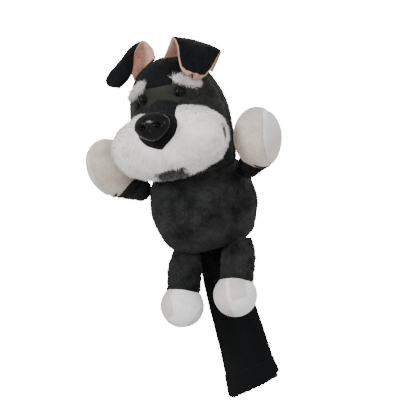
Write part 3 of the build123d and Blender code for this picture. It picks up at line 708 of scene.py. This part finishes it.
def bridge():
    """Short-piled strip from between the eyes to the nose, round at its end."""
    v = np.linspace(0, 1, 70)
    u = around(120)
    uu, vv = grid(u, v)
    arc = BRIDGE_R * math.pi / 2
    total = BRIDGE_LENGTH + arc
    s = vv * total
    bend = (s - BRIDGE_LENGTH) / BRIDGE_R
    straight = s < BRIDGE_LENGTH
    end = BRIDGE_R * np.sin(np.clip(bend, 0, math.pi / 2))
    along = np.where(straight, s, BRIDGE_LENGTH + end)
    r = np.where(straight, BRIDGE_R, BRIDGE_R * np.cos(np.clip(bend, 0, math.pi / 2 - 1e-3)))
    y = -0.045 - along
    upper = np.clip(1 - s / BRIDGE_LENGTH, 0, 1)
    lift = 0.012 * upper
    narrow = 1 - 0.06 * upper
    x = BRIDGE_WIDE * narrow * r * np.cos(uu)
    p = np.stack([x, y, BRIDGE_Z + lift + r * np.sin(uu)], -1)
    p = p + 0.0006 * noise3(p, 0.012, 33)[..., None] * unit(p - np.array([0, -0.08, BRIDGE_Z]))
    return shell("muzzle_bridge_plush", p[::-1], PLUSH, True)


bridge_obj = bridge()
dress(bridge_obj, "black_plush", "cover", ["muzzle_bridge"])


def chin():
    """Darker chin under the parting."""
    u = np.linspace(-0.62, 0.62, 60)
    t = np.linspace(-1, 1, 60)
    uu, tt = grid(u, t)
    x = 0.0205 * tt
    r = egg_radius(x, MUZZLE_R + 0.0012, MUZZLE_HALF)
    a = -math.pi / 2 - 0.28 + uu * 0.9
    p = np.stack([x, MUZZLE[1] + r * np.cos(a), MUZZLE[2] + r * np.sin(a)], -1)
    return shell("chin_plush", p[::-1], 0.0015)


chin_obj = chin()
dress(chin_obj, "dark_plush", "cover", ["chin"])


# ---- Nose and eyes -----------------------------------------------------------
def plane_axes(n):
    across = unit(np.cross([0, 0, 1], n))
    return across, np.cross(n, across)


def nose():
    """Moulded nose: broad flat top, narrow lower lip, two nostrils, a middle groove."""
    across, up = plane_axes(NOSE_OUT)
    u = around(140)
    v = np.linspace(0, 1, 70)
    uu, vv = grid(u, v)
    ang = vv * math.pi / 2
    c, s = np.cos(uu), np.sin(uu)
    a = 0.0246 * np.sign(c) * np.abs(c) ** 0.85
    b = 0.0186 * np.sign(s) * np.abs(s) ** 0.9
    narrow = 1 - 0.42 * np.clip(-s, 0, 1) ** 1.2
    ring = np.cos(ang) ** 0.75
    x, y = a * narrow * ring, b * ring
    h = 0.0118 * np.sin(ang) ** 0.8 + 0.0002
    h = h + 0.0013 * np.exp(-((y - 0.006) / 0.006) ** 2) * np.sin(ang)
    for k in (-1, 1):
        d = np.sqrt(((x - k * 0.0105) / 0.0042) ** 2 + ((y + 0.0015) / 0.0028) ** 2)
        h = h - 0.0042 * np.exp(-(d**2)) + 0.0008 * np.exp(-((d - 1.7) ** 2) * 2)
    h = h - 0.0011 * np.exp(-((x / 0.0012) ** 2)) * np.clip(-(y - 0.002) / 0.01, 0, 1)
    h = np.minimum(h, 0.0136)
    p = NOSE_AT + x[..., None] * across + y[..., None] * up + h[..., None] * NOSE_OUT
    p[:, -1] = p[:, -1].mean(0)
    return shell("nose_moulded", p, 0.0016, True)


dress(nose(), "nose_plastic", "cover", ["nose"])


def eye(side, s):
    """Glass-look bead with a thin rim, standing in a stitched socket."""
    at, n = head_point(EYE_X * s, EYE_Z)
    across, up = plane_axes(n)
    prof = [(0.0, 0.0058), (0.0018, 0.0056), (0.0036, 0.0048), (0.0052, 0.0035),
            (0.0063, 0.0020), (0.0068, 0.0010), (0.0074, 0.0009), (0.0077, 0.0004),
            (0.0074, -0.0004), (0.0, -0.0006)]
    u = around(64)
    k = len(u)
    verts, faces = [], []
    for r, h in prof:
        for a in u:
            verts.append(at + across * r * math.cos(a) + up * r * math.sin(a) + n * h)
    for i in range(len(prof) - 1):
        low, high = i * k, (i + 1) * k
        for j in range(k):
            after = (j + 1) % k
            faces.append((low + j, high + j, high + after, low + after))
    obj = make_mesh(f"eye_{side}_bead", verts, faces)
    sub = obj.modifiers.new("round", "SUBSURF")
    sub.levels = sub.render_levels = 1
    return dress(obj, "eye_plastic", "cover", [f"eye_{side}"])


def patch(side, s):
    """Felt oval beside the eye, lying on the face."""
    at, n = head_point(PATCH_X * s, PATCH_Z)
    across, up = plane_axes(n)
    rr = np.linspace(0.02, 1, 14)
    u = around(60)
    uu, vv = grid(u, rr)
    x = 0.0085 * vv * np.cos(uu)
    y = 0.0056 * vv * np.sin(uu)
    p = at + x[..., None] * across + y[..., None] * up
    flat = np.linalg.norm(p[..., :2], axis=-1, keepdims=True)
    reach = head_radius(p[..., 2])[..., None] + 0.0016 * (1 - vv[..., None] ** 4) + 0.0006
    p[..., :2] = p[..., :2] / flat * reach
    obj = shell(f"eye_patch_{side}_felt", p[:, ::-1], -0.0008, True)
    return dress(obj, "patch_felt", "cover", [f"eye_patch_{side}"])


for side, s in SIDES:
    eye(side, s)
    patch(side, s)


def brow(side, s):
    """Small stuffed ridge that the brow's tufts grow from."""
    at, n = head_point(0.035 * s, 0.423)
    across, up = plane_axes(n)
    a = math.radians(-32 * s)
    along = unit(across * math.cos(a) + up * math.sin(a))
    cross = np.cross(n, along)
    u = around(50)
    t = np.linspace(-0.97, 0.97, 60)
    uu, tt = grid(u, t)
    r = 0.0055 * np.sqrt(1 - tt**2) ** 0.8
    line = at + (0.019 * tt)[..., None] * along
    flat = np.linalg.norm(line[..., :2], axis=-1, keepdims=True)
    line[..., :2] = line[..., :2] / flat * (head_radius(line[..., 2])[..., None] + 0.0005)
    p = line + (r * np.cos(uu))[..., None] * cross + (r * 0.7 * np.sin(uu))[..., None] * n
    obj = shell(f"brow_{side}_base", p, 0.001, True)
    dress(obj, "brow_shag", "cover", [f"brow_{side}"])
    comb = along * s
    fur(f"brow_{side}_tufts", [obj], 2600, 0.0068, 0.0009, toward(comb + up * 0.35), 0.5,
        61 + s, "brow_pile", "cover", "brow_shag", mess=0.22)


for side, s in SIDES:
    brow(side, s)


# ---- Ears --------------------------------------------------------------------
# The right ear's root seam, its hinge axis, and how far its flap leans out.
EAR_ROOT = np.array((0.0339488, -0.0010609, 0.4481633))
EAR_AXIS = np.array((-0.75686904, -0.42255428, 0.49859516))
EAR_LEAN = 1.05
EAR_RISE, EAR_FOLD, EAR_FLAP, EAR_HALF = 0.028, 0.014, 0.048, 0.031
EAR_SEEDS = {"left": 74, "right": 76}
LEFT_EAR_HUB = np.array([-0.032, -0.010, 0.452])


def ear_outside(p, n, side):
    """Roots on the ear's outer face: behind the standing part, in front of the flap."""
    if side == "left":
        return ((p - LEFT_EAR_HUB) * n).sum(1) > 0
    up = unit(EAR_ROOT - np.array([0, 0, TOP_Z - CAP_ROUND]))
    ahead = np.cross(up, EAR_AXIS)
    q = p - EAR_ROOT
    a, b = q @ ahead, q @ up
    na, nb = n @ ahead, n @ up
    hub = np.stack([a - EAR_FOLD / 2, b - (EAR_RISE - 0.012)], 1)
    return (hub[:, 0] * na + hub[:, 1] * nb) > 0


def relax(line, times):
    """Round a line of points, with its ends held."""
    for _ in range(times):
        line[1:-1] = 0.25 * line[:-2] + 0.5 * line[1:-1] + 0.25 * line[2:]
    return line


def left_ear_points(inward, grow):
    """The drooping ear, drawn by its two edges: across, up and towards the front."""
    across = np.array([0.9455, 0.3256, 0.0])
    up = np.array([-0.0565, 0.1642, 0.985])
    front = np.array([0.3206, -0.9311, 0.1736])
    knots = [0, 0.2, 0.38, 0.46, 0.56, 0.76, 0.92, 1.0]
    inner = np.array([(-10, 450, 68), (-9, 464, 66), (-18, 480, 66), (-27, 478, 72),
                      (-35, 466, 80), (-41, 446, 84), (-50, 431, 84), (-66, 424, 82)]) / 1000
    outer = np.array([(-44, 430, 64), (-48, 447, 62), (-48, 465, 62), (-52, 464, 66),
                      (-60, 458, 72), (-75, 448, 78), (-84, 438, 80), (-80, 430, 81)]) / 1000
    t = np.linspace(0, 1, 120)
    rows = []
    for edge in (inner, outer):
        e = np.stack([np.interp(t, knots, edge[:, i]) for i in range(3)], 1)
        rows.append(relax(e, 60))
    away = unit(rows[0] - rows[1])
    rows[0], rows[1] = rows[0] + away * grow, rows[1] - away * grow
    w = np.linspace(0, 1, 60)[None, :, None]
    q = rows[0][:, None] * (1 - w) + rows[1][:, None] * w
    bow = np.sin(np.pi * w[..., 0])
    tt = t[:, None]
    flap = 0.007 * np.clip((tt - 0.45) / 0.2, 0, 1)
    hollow = 0.008 * np.sin(np.pi * np.clip(tt / 0.45, 0, 1))
    q[..., 2] += bow * (flap - hollow)
    q[..., 1] += bow * 0.004 * np.clip(1 - np.abs(tt - 0.42) / 0.2, 0, 1)
    pts = q[..., 0:1] * across + q[..., 1:2] * up + q[..., 2:3] * front
    pts = pts + (0.0010 * noise3(pts, 0.02, 70))[..., None] * front
    n = grid_normals(pts)
    if n[95, 30] @ front < 0:
        pts, n = pts[:, ::-1], -n[:, ::-1]
    return pts - n * inward


def ear_sheet(name, side, inward, grow, thickness):
    """One layer of an ear: up from its seam, over the fold, and down to a round tip."""
    if side == "left":
        pts = left_ear_points(inward, grow)
        return shell(name, pts, thickness), pts
    centre = np.array([0, 0, TOP_Z - CAP_ROUND])
    up = unit(EAR_ROOT - centre)
    ahead = np.cross(up, EAR_AXIS)
    droop = unit(np.array([EAR_LEAN, -1.0]))
    corners = np.array([(0, 0), (0, EAR_RISE), (EAR_FOLD, EAR_RISE)])
    corners = np.vstack([corners, corners[-1] + droop * (EAR_FLAP + grow)])
    run = np.append(0, np.cumsum(np.linalg.norm(np.diff(corners, axis=0), axis=1)))
    t = np.linspace(0, 1, 120)
    k = np.stack([np.interp(t * run[-1], run, corners[:, i]) for i in (0, 1)], 1)
    k = relax(k, 110)
    tangent = unit(np.gradient(k, axis=0))
    inside = np.stack([tangent[:, 1], -tangent[:, 0]], 1)
    k = k + inside * inward
    stations = [0, 0.28, 0.42, 0.6, 0.78, 0.9, 0.965, 1.0]
    near = [1.0, 1.0, 0.9, 0.7, 0.58, 0.45, 0.3, 0.05]
    far = [1.15, 1.2, 1.18, 1.0, 0.82, 0.62, 0.42, 0.1]
    near = np.interp(t, stations, near) * EAR_HALF + grow
    far = np.interp(t, stations, far) * EAR_HALF + grow
    w = np.linspace(-1, 1, 60)
    ww = np.tile(w, (len(t), 1))
    reach = np.where(ww > 0, near[:, None], far[:, None]) * ww
    tt = t[:, None]
    sag = reach**2 / (2 * 0.060) * np.clip(1 - tt / 0.3, 0, 1)
    sag = sag + 0.009 * np.clip(-ww - 0.4, 0, 1) ** 1.5 * np.clip(tt / 0.4, 0, 1)
    stand = np.sin(np.pi * np.clip(tt / 0.45, 0, 1))
    cup = 0.0075 * ww**2 * stand
    dome = 0.0050 * (1 - ww**2) * np.clip((tt - 0.42) / 0.3, 0, 1)
    dome = dome - 0.004 * ww**2 * np.clip((tt - 0.5) / 0.5, 0, 1)
    a = k[:, 0:1] + cup - inside[:, 0:1] * dome
    b = k[:, 1:2] - sag - inside[:, 1:2] * dome
    pts = EAR_ROOT + a[..., None] * ahead + b[..., None] * up + reach[..., None] * EAR_AXIS
    pts = pts + (0.0011 * noise3(pts, 0.02, 72))[..., None] * up
    n = grid_normals(pts)
    mid = (len(t) // 2, len(w) // 2)
    if n[mid] @ (inside[mid[0], 0] * ahead + inside[mid[0], 1] * up) > 0:
        pts = pts[:, ::-1]
    return shell(name, pts, thickness), pts


for side, _ in SIDES:
    outer, pts = ear_sheet(f"ear_{side}_plush", side, 0.0003, 0.0, 0.0019)
    dress(outer, "black_plush", f"ear_{side}", [f"ear_{side}_outer"])
    lining, _ = ear_sheet(f"ear_{side}_lining_plush", side, 0.0023, 0.0012, 0.0016)
    dress(lining, "pink_plush", f"ear_{side}", [f"ear_{side}_lining"])
    fur(f"ear_{side}_nap", [outer], 15000, 0.0018, 0.0005, toward((0, -0.3, -1)), 0.6,
        EAR_SEEDS[side], "black_pile", f"ear_{side}", "black_plush",
        where=lambda p, n: ear_outside(p, n, side), mess=0.25)


# ---- Arms --------------------------------------------------------------------
def frame_from(z_axis, x_hint):
    z = unit(z_axis)
    x = unit(np.asarray(x_hint) - z * (np.asarray(x_hint) @ z))
    return x, np.cross(z, x), z


def paw_up(s):
    tilt = math.radians(PAW_TILT * s)
    return np.array([math.sin(tilt), 0, math.cos(tilt)])


def paw_parts(side, s):
    """(rest of the paw, end panel): an egg split by a curved seam near its side."""
    mid = PAW_AT[side]
    tilt = math.radians(PAW_TILT * s)
    up = paw_up(s)
    out = np.array([math.cos(tilt) * s, 0, -math.sin(tilt) * s])
    ahead = np.array([0, -1.0, 0])
    cut = math.radians(60)

    def surface(a0, a1, na, grow):
        u = around(130)
        a = np.linspace(a0, a1, na)
        uu, aa = grid(u, a)
        x = 0.0302 * np.cos(aa)
        y = 0.0302 * np.sin(aa) * np.cos(uu)
        z = 0.0396 * np.sin(aa) * np.sin(uu)
        y = y * (1 + 0.05 * np.clip(z / 0.04, -1, 1))
        p = mid + x[..., None] * out + y[..., None] * ahead + z[..., None] * up
        seam = -0.0016 * np.exp(-(((aa - cut) * 0.033 / 0.0022) ** 2))
        n = unit(p - mid)
        lump = 0.0009 * noise3(p, 0.022, 81 + s)
        return p + n * (seam + lump + grow)[..., None]

    flip = slice(None, None, -1) if s > 0 else slice(None)
    side_panel = surface(cut, math.pi - 0.02, 80, 0)[flip]
    rest = shell(f"paw_{side}_plush", side_panel, PLUSH, True)
    end = shell(f"paw_{side}_end", surface(0.02, cut, 44, 0.0002)[flip], PLUSH, True)
    return rest, end


def sleeve(side, s):
    """From a ball end in the shoulder's seam to just inside the paw."""
    root = np.array([SHOULDER_X * s, SHOULDER_Y, SHOULDER_Z])
    wrist = PAW_AT[side] - paw_up(s) * 0.020
    x, y, z = frame_from(wrist - root, (0, -1, 0))
    length = np.linalg.norm(wrist - root)
    u = around(120)
    v = np.linspace(0, 1, 60)
    uu, vv = grid(u, v)
    ball, end_r = 0.35, 0.0138
    ang = np.clip(vv / ball, 0, 1) * math.pi / 2
    beyond = (vv - ball) / (1 - ball)
    along = np.where(vv < ball, -end_r * np.cos(ang), beyond * (length - 0.001))
    r = np.where(vv < ball, end_r * np.sin(ang) + 1e-4, end_r + 0.0064 * beyond)
    p = (root + (r * np.cos(uu))[..., None] * x + (r * np.sin(uu))[..., None] * y
         + along[..., None] * z)
    fold = 0.0008 * noise3(p, 0.012, 91 + s) + 0.0007 * np.sin(vv * 34 + 1.5 * np.sin(uu)) * vv
    n = unit(p - (root + along[..., None] * z))
    return shell(f"sleeve_{side}_plush", p[::-1] + (n * fold[..., None])[::-1], PLUSH, True)


arms = {}
for side, s in SIDES:
    body = f"arm_{side}"
    sl = sleeve(side, s)
    rest, end = paw_parts(side, s)
    dress(sl, "charcoal_plush", body, [f"sleeve_{side}"])
    dress(rest, "cream_plush", body, [f"paw_{side}"])
    dress(end, "white_plush", body, [f"paw_sole_{side}"])
    arms[side] = (sl, rest, end)


# ---- Legs --------------------------------------------------------------------
def hip_at(s):
    return np.array([0.005 + 0.038 * s, -0.031, 0.1935])


def leg(side, s):
    """(leg, foot, the foot's filling): a stuffed tube that ends on a round foot."""
    hip = hip_at(s)
    foot = np.array([hip[0] - 0.016, -0.0535, 0.1332])
    x, y, z = frame_from(foot - hip, (1, 0, 0))
    length = np.linalg.norm(foot - hip)
    u = around(120)
    v = np.linspace(0, 1, 90)
    uu, vv = grid(u, v)
    d = -0.010 + vv * (length - 0.004)
    grow = np.clip((d + 0.010) / 0.030, 0, 1)
    swell = np.sin(grow * math.pi / 2)
    rx = 0.0158 + 0.0062 * swell - 0.0012 * np.clip((d - 0.020) / 0.02, 0, 1)
    ry = 0.0075 + 0.0112 * swell
    p = (hip + (rx * np.cos(uu))[..., None] * x + (ry * np.sin(uu))[..., None] * y
         + d[..., None] * z)
    n = unit(np.cos(uu)[..., None] * x + np.sin(uu)[..., None] * y)
    fold = 0.0007 * noise3(p, 0.014, 101 + s) + 0.0004 * np.sin(d * 500 + uu) * grow
    leg_obj = shell(f"leg_{side}_plush", (p + n * fold[..., None])[::-1], PLUSH, True)

    uu, aa = grid(u, np.linspace(0.02, math.pi - 0.02, 90))
    fx = FOOT_R * np.cos(aa)
    fy = (FOOT_R - 0.0004) * np.sin(aa) * np.cos(uu)
    fz = FOOT_R * np.sin(aa) * np.sin(uu)
    q = foot + np.stack([fx, -fy, fz], -1)
    nn = unit(q - foot)
    toe = -0.0017 * np.exp(-((fx / 0.0018) ** 2)) * np.clip(np.cos(uu) * 1.4 + 0.3, 0, 1)
    lump = 0.0008 * noise3(q, 0.02, 111 + s)
    foot_obj = shell(f"foot_{side}_plush", (q + nn * (toe + lump)[..., None])[::-1], PLUSH, True)
    ball = foot + 0.90 * (q - foot)
    fill_obj = shell(f"foot_{side}_filling", ball[::-1], 0.004, True)
    return leg_obj, foot_obj, fill_obj


def hip_joint(obj):
    """The leg's cloth stays sewn to the torso: its placement is baked into its mesh."""
    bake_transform(obj)


legs = {}
for side, s in SIDES:
    body = f"leg_{side}"
    lo, fo, filling = leg(side, s)
    dress(lo, "charcoal_plush", None, [f"leg_{side}"])
    hip_joint(lo)
    dress(fo, "white_plush", body, [f"foot_{side}"])
    dress(filling, "fibre_fill", body, [f"foot_stuffing_{side}"])
    legs[side] = (lo, fo)


# ---- Sock --------------------------------------------------------------------
def sock_size(z):
    """Half width and half depth of the flattened sock at z."""
    z = np.clip(z, 0, SOCK_TOP)
    stations = [0, HEM_Z, SOCK_TOP]
    w = np.interp(z, stations, [0.0770, 0.0710, 0.0540])
    d = np.interp(z, stations, [0.0390, 0.0400, 0.0460])
    return w / 2, d / 2


def sock_tube(name, z0, z1, nz, proud, thickness, roll=0.0):
    """A ribbed tube whose lower end slants down to the left; roll rounds a folded hem."""
    u = around(432)
    z = np.linspace(z0, z1, nz)
    uu, zz = grid(u, z)
    a, b = sock_size(zz)
    c, s = np.cos(uu), np.sin(uu)
    x = (a + proud) * np.sign(c) * np.abs(c) ** 0.93
    y = (b + proud) * s
    out = unit(np.stack([x / a**2, y / b**2, 0 * x], -1))
    wave = 0.00032 * np.cos(uu * RIBS)
    p = np.stack([x, y, zz], -1)
    soft = 0.0011 * noise3(p * [1, 1, 0.5], 0.03, 121) + 0.0005 * noise3(p, 0.012, 122)
    tuck = 0
    if roll:
        edge = np.clip(roll - (zz - z0), 0, 1)
        tuck = -roll * (1 - np.sqrt(np.maximum(1 - (edge / roll) ** 2, 0)))
        top = np.clip(roll - (z1 - zz), 0, 1)
        tuck = tuck - 0.7 * roll * (1 - np.sqrt(np.maximum(1 - (top / roll) ** 2, 0)))
    p = p + out * (wave + soft + tuck)[..., None]
    corner = np.clip((np.abs(x) - 0.026) / 0.012, 0, 1) ** 2
    low = np.clip((0.02 - zz) / 0.02, 0, 1) if z0 < 0.01 else 0
    p[..., 2] += 0.005 * corner * low
    p[..., 2] += (0.0005 * np.sin(uu * 36) + 0.0008 * noise3(p, 0.02, 123)) * low
    p[..., 2] += 0.24 * (x - 0.036) * np.clip(1 - zz / 0.09, 0, 1)
    return shell(name, p, thickness, True)


sock_obj = sock_tube("sock_knitted", 0.0262, 0.1985, 170, -0.0004, 0.0016)
dress(sock_obj, "sock_knit", "cover", ["sock"])
cuff_obj = sock_tube("sock_cuff_folded", 0.0005, 0.0285, 60, 0.0008, 0.0022, roll=0.0016)
dress(cuff_obj, "sock_knit", "cover", ["sock_cuff"])

# ---- Short and long pile -----------------------------------------------------
DOWN = toward((0, 0, -1))


def outward_down(p):
    c = p - np.array([0, -0.055, 0.395])
    c[:, 2] *= 1.3
    return unit(c)


def above_head(p, n):
    """Roots that are outside the head and not hidden behind the bridge or chin."""
    r = np.linalg.norm(p[:, :2], axis=1)
    clear = r > head_radius(p[:, 2]) - 0.002
    over = np.hypot(p[:, 0] / BRIDGE_WIDE, p[:, 2] - BRIDGE_Z)
    bridge_hit = (over < 0.0240) & (p[:, 1] < -0.05)
    chin_hit = (np.abs(p[:, 0]) < 0.017) & (p[:, 2] < 0.324)
    outside = ((p - MUZZLE) * n).sum(1) > 0
    return clear & ~bridge_hit & ~chin_hit & outside


def shag_size(p):
    """Shorter beside the bridge and at the top, longer along the lower edge."""
    over = np.hypot(p[:, 0], p[:, 2] - BRIDGE_Z)
    beside = np.clip((over - 0.024) / 0.012, 0.55, 1)
    low = np.clip((0.340 - p[:, 2]) / 0.03, 0, 1)
    return beside * (1 + 0.25 * low)


for side, s in SIDES:
    fur(f"cheek_{side}_shag", [cheeks[side]], 46000, 0.0050, 0.0009, outward_down, 0.62,
        41 + s, "white_pile", "cover", "white_shag", where=above_head, mess=0.16, curl=0.3,
        size_at=shag_size)


def outer_side(p, n):
    return (p * n)[:, :2].sum(1) > -0.002


def face_clear(p, n):
    """Outer roots that are clear of the eyes and the felt patches."""
    keep = outer_side(p, n)
    for s in (-1, 1):
        for x, z in ((EYE_X, EYE_Z), (PATCH_X, PATCH_Z)):
            at, _ = head_point(x * s, z)
            keep &= np.linalg.norm(p - at, axis=1) > EYE_CLEAR
    return keep


NAP = 0.0006
BACKWARD, FORWARD = toward((0, 1, -0.4)), toward((0, 1, 0.3))
# Name, mesh, tufts, length, comb, lean, seed, material, slot and what differs.
for nap, obj, count, length, comb, lean, seed, cloth, slot, extra in (
    ("torso_front_nap", torso_front, 42000, 0.0019, DOWN, 0.62, 43, "charcoal_pile",
     "charcoal_plush", {"where": outer_side, "sway": 1.0}),
    ("torso_back_nap", torso_back, 42000, 0.0019, DOWN, 0.62, 44, "charcoal_pile",
     "charcoal_plush", {"where": outer_side, "sway": 1.0}),
    ("face_nap", face, 42000, 0.0018, DOWN, 0.6, 45, "grey_pile",
     "grey_plush", {"where": face_clear, "sway": 0.5}),
    ("head_back_nap", back_head, 42000, 0.0019, DOWN, 0.62, 46, "charcoal_pile",
     "charcoal_plush", {"where": outer_side, "sway": 0.5}),
    ("crown_nap", crown_obj, 20000, 0.0026, BACKWARD, 0.55, 47, "black_pile",
     "black_plush", {"sway": 0.5}),
    ("bridge_nap", bridge_obj, 14000, 0.0024, FORWARD, 0.55, 48, "black_pile",
     "black_plush", {}),
):
    fur(nap, [obj], count, length, NAP, comb, lean, seed, cloth, "cover", slot, **extra)
fur("chin_nap", [chin_obj], 5000, 0.0045, 0.0009, DOWN, 0.6, 49, "dark_pile", "cover",
    "dark_plush", mess=0.22)
UPWARD = toward((0, 0, 1))
for side, s in SIDES:
    sl, rest, end = arms[side]
    lo, fo = legs[side]
    fur(f"sleeve_{side}_nap", [sl], 11000, 0.0026, NAP, toward((s, 0, 0.4)), 0.6, 50 + s,
        "charcoal_pile", f"arm_{side}", "charcoal_plush")
    fur(f"paw_{side}_nap", [rest], 22000, 0.0014, 0.0005, UPWARD, 0.6, 53 + s,
        "cream_pile", f"arm_{side}", "cream_plush")
    fur(f"paw_{side}_end_nap", [end], 9000, 0.0014, 0.0005, UPWARD, 0.6, 56 + s,
        "foot_pile", f"arm_{side}", "cream_plush")
    hip_joint(fur(f"leg_{side}_nap", [lo], 13000, 0.0026, NAP, DOWN, 0.6, 59 + s,
                  "charcoal_pile", None, "charcoal_plush"))
    fur(f"foot_{side}_nap", [fo], 22000, 0.0014, 0.0005, DOWN, 0.6, 65 + s,
        "foot_pile", f"leg_{side}", "white_plush")

# ---- The CAD pieces that stay in view or inside -------------------------------
for slot_name, names in {
    "lining_cloth": [n for n in NODES if "lining" in n and "ear" not in n],
    "elastic": ["neck_elastic"],
    "padding_foam": ["torso_padding"],
    "fibre_fill": [n for n in NODES if "stuffing" in n],
    "washer_plastic": ["nose_washer", "eye_washer_left", "eye_washer_right"],
}.items():
    for n in names:
        mesh = NODES[n].data
        mesh.materials.clear()
        mesh.materials.append(M[slot_name])

# ---- Floor, light and camera ---------------------------------------------------
FLOOR_Z, FLOOR_HALF, WHITE_LIGHT = -0.35, 12.0, 16.0
floor_mat, tree, bsdf, coord = nodes_of("floor_paper")
paper = ramp(tree, add_noise(tree, coord, 2.0),
             [(0.3, (0.9, 0.9, 0.9)), (0.7, (0.92, 0.92, 0.92))])
tree.links.new(paper, bsdf.inputs["Base Color"])
bsdf.inputs["Roughness"].default_value = 0.9
bsdf.inputs["Emission Color"].default_value = (1, 1, 1, 1)
bsdf.inputs["Emission Strength"].default_value = WHITE_LIGHT
floor_corners = [(x * FLOOR_HALF, y * FLOOR_HALF, FLOOR_Z)
                 for x, y in ((-1, -1), (1, -1), (1, 1), (-1, 1))]
floor = make_mesh("floor", floor_corners, [(0, 1, 2, 3)])
floor.data.materials.append(floor_mat)
# The floor is only a white ground behind the part: it neither lights nor shades it.
floor.visible_diffuse = floor.visible_glossy = floor.visible_shadow = False

world = bpy.data.worlds.new("studio")
bpy.context.scene.world = world
world.use_nodes = True
sky = world.node_tree
ambient = sky.nodes["Background"]
ambient.inputs["Color"].default_value = (1, 1, 1, 1)
ambient.inputs["Strength"].default_value = 1.0
backdrop = sky.nodes.new("ShaderNodeBackground")
backdrop.inputs["Strength"].default_value = WHITE_LIGHT
path = sky.nodes.new("ShaderNodeLightPath")
pick = sky.nodes.new("ShaderNodeMixShader")
sky.links.new(path.outputs["Is Camera Ray"], pick.inputs[0])
sky.links.new(ambient.outputs[0], pick.inputs[1])
sky.links.new(backdrop.outputs[0], pick.inputs[2])
sky.links.new(pick.outputs[0], sky.nodes["World Output"].inputs["Surface"])


def area_light(name, at, target, size, power):
    light = bpy.data.lights.new(name, "AREA")
    light.shape = "DISK"
    light.size = size
    light.energy = power
    obj = bpy.data.objects.new(name, light)
    obj.location = at
    obj.rotation_euler = (Vector(target) - Vector(at)).to_track_quat("-Z", "Y").to_euler()
    bpy.context.scene.collection.objects.link(obj)


area_light("key", (-0.7, -1.3, 1.5), (0, 0, 0.3), 0.6, 26)
area_light("fill", (1.5, -1.1, 0.7), (0, 0, 0.3), 1.0, 12)
area_light("rim", (0.6, 1.4, 1.3), (0, 0, 0.35), 0.8, 14)

LENS, SENSOR, DISTANCE = 220, 36, 3.432
az, el, roll = math.radians(19), math.radians(10), math.radians(15.5)
right = np.array([math.cos(az), math.sin(az), 0])
toward_cam = np.array([math.sin(az) * math.cos(el), -math.cos(az) * math.cos(el), math.sin(el)])
up = np.cross(toward_cam, right)
cam_right = math.cos(roll) * right - math.sin(roll) * up
cam_up = math.sin(roll) * right + math.cos(roll) * up
target = 0.0038 * right + 0.2412 * up
camera = bpy.data.cameras.new("camera")
camera.lens = LENS
camera.sensor_width = SENSOR
cam = bpy.data.objects.new("camera", camera)
bpy.context.scene.collection.objects.link(cam)
cam.matrix_world = Matrix(np.column_stack([
    np.append(cam_right, 0), np.append(cam_up, 0), np.append(toward_cam, 0),
    np.append(target + toward_cam * DISTANCE, 1)]).tolist())
bpy.context.scene.camera = cam
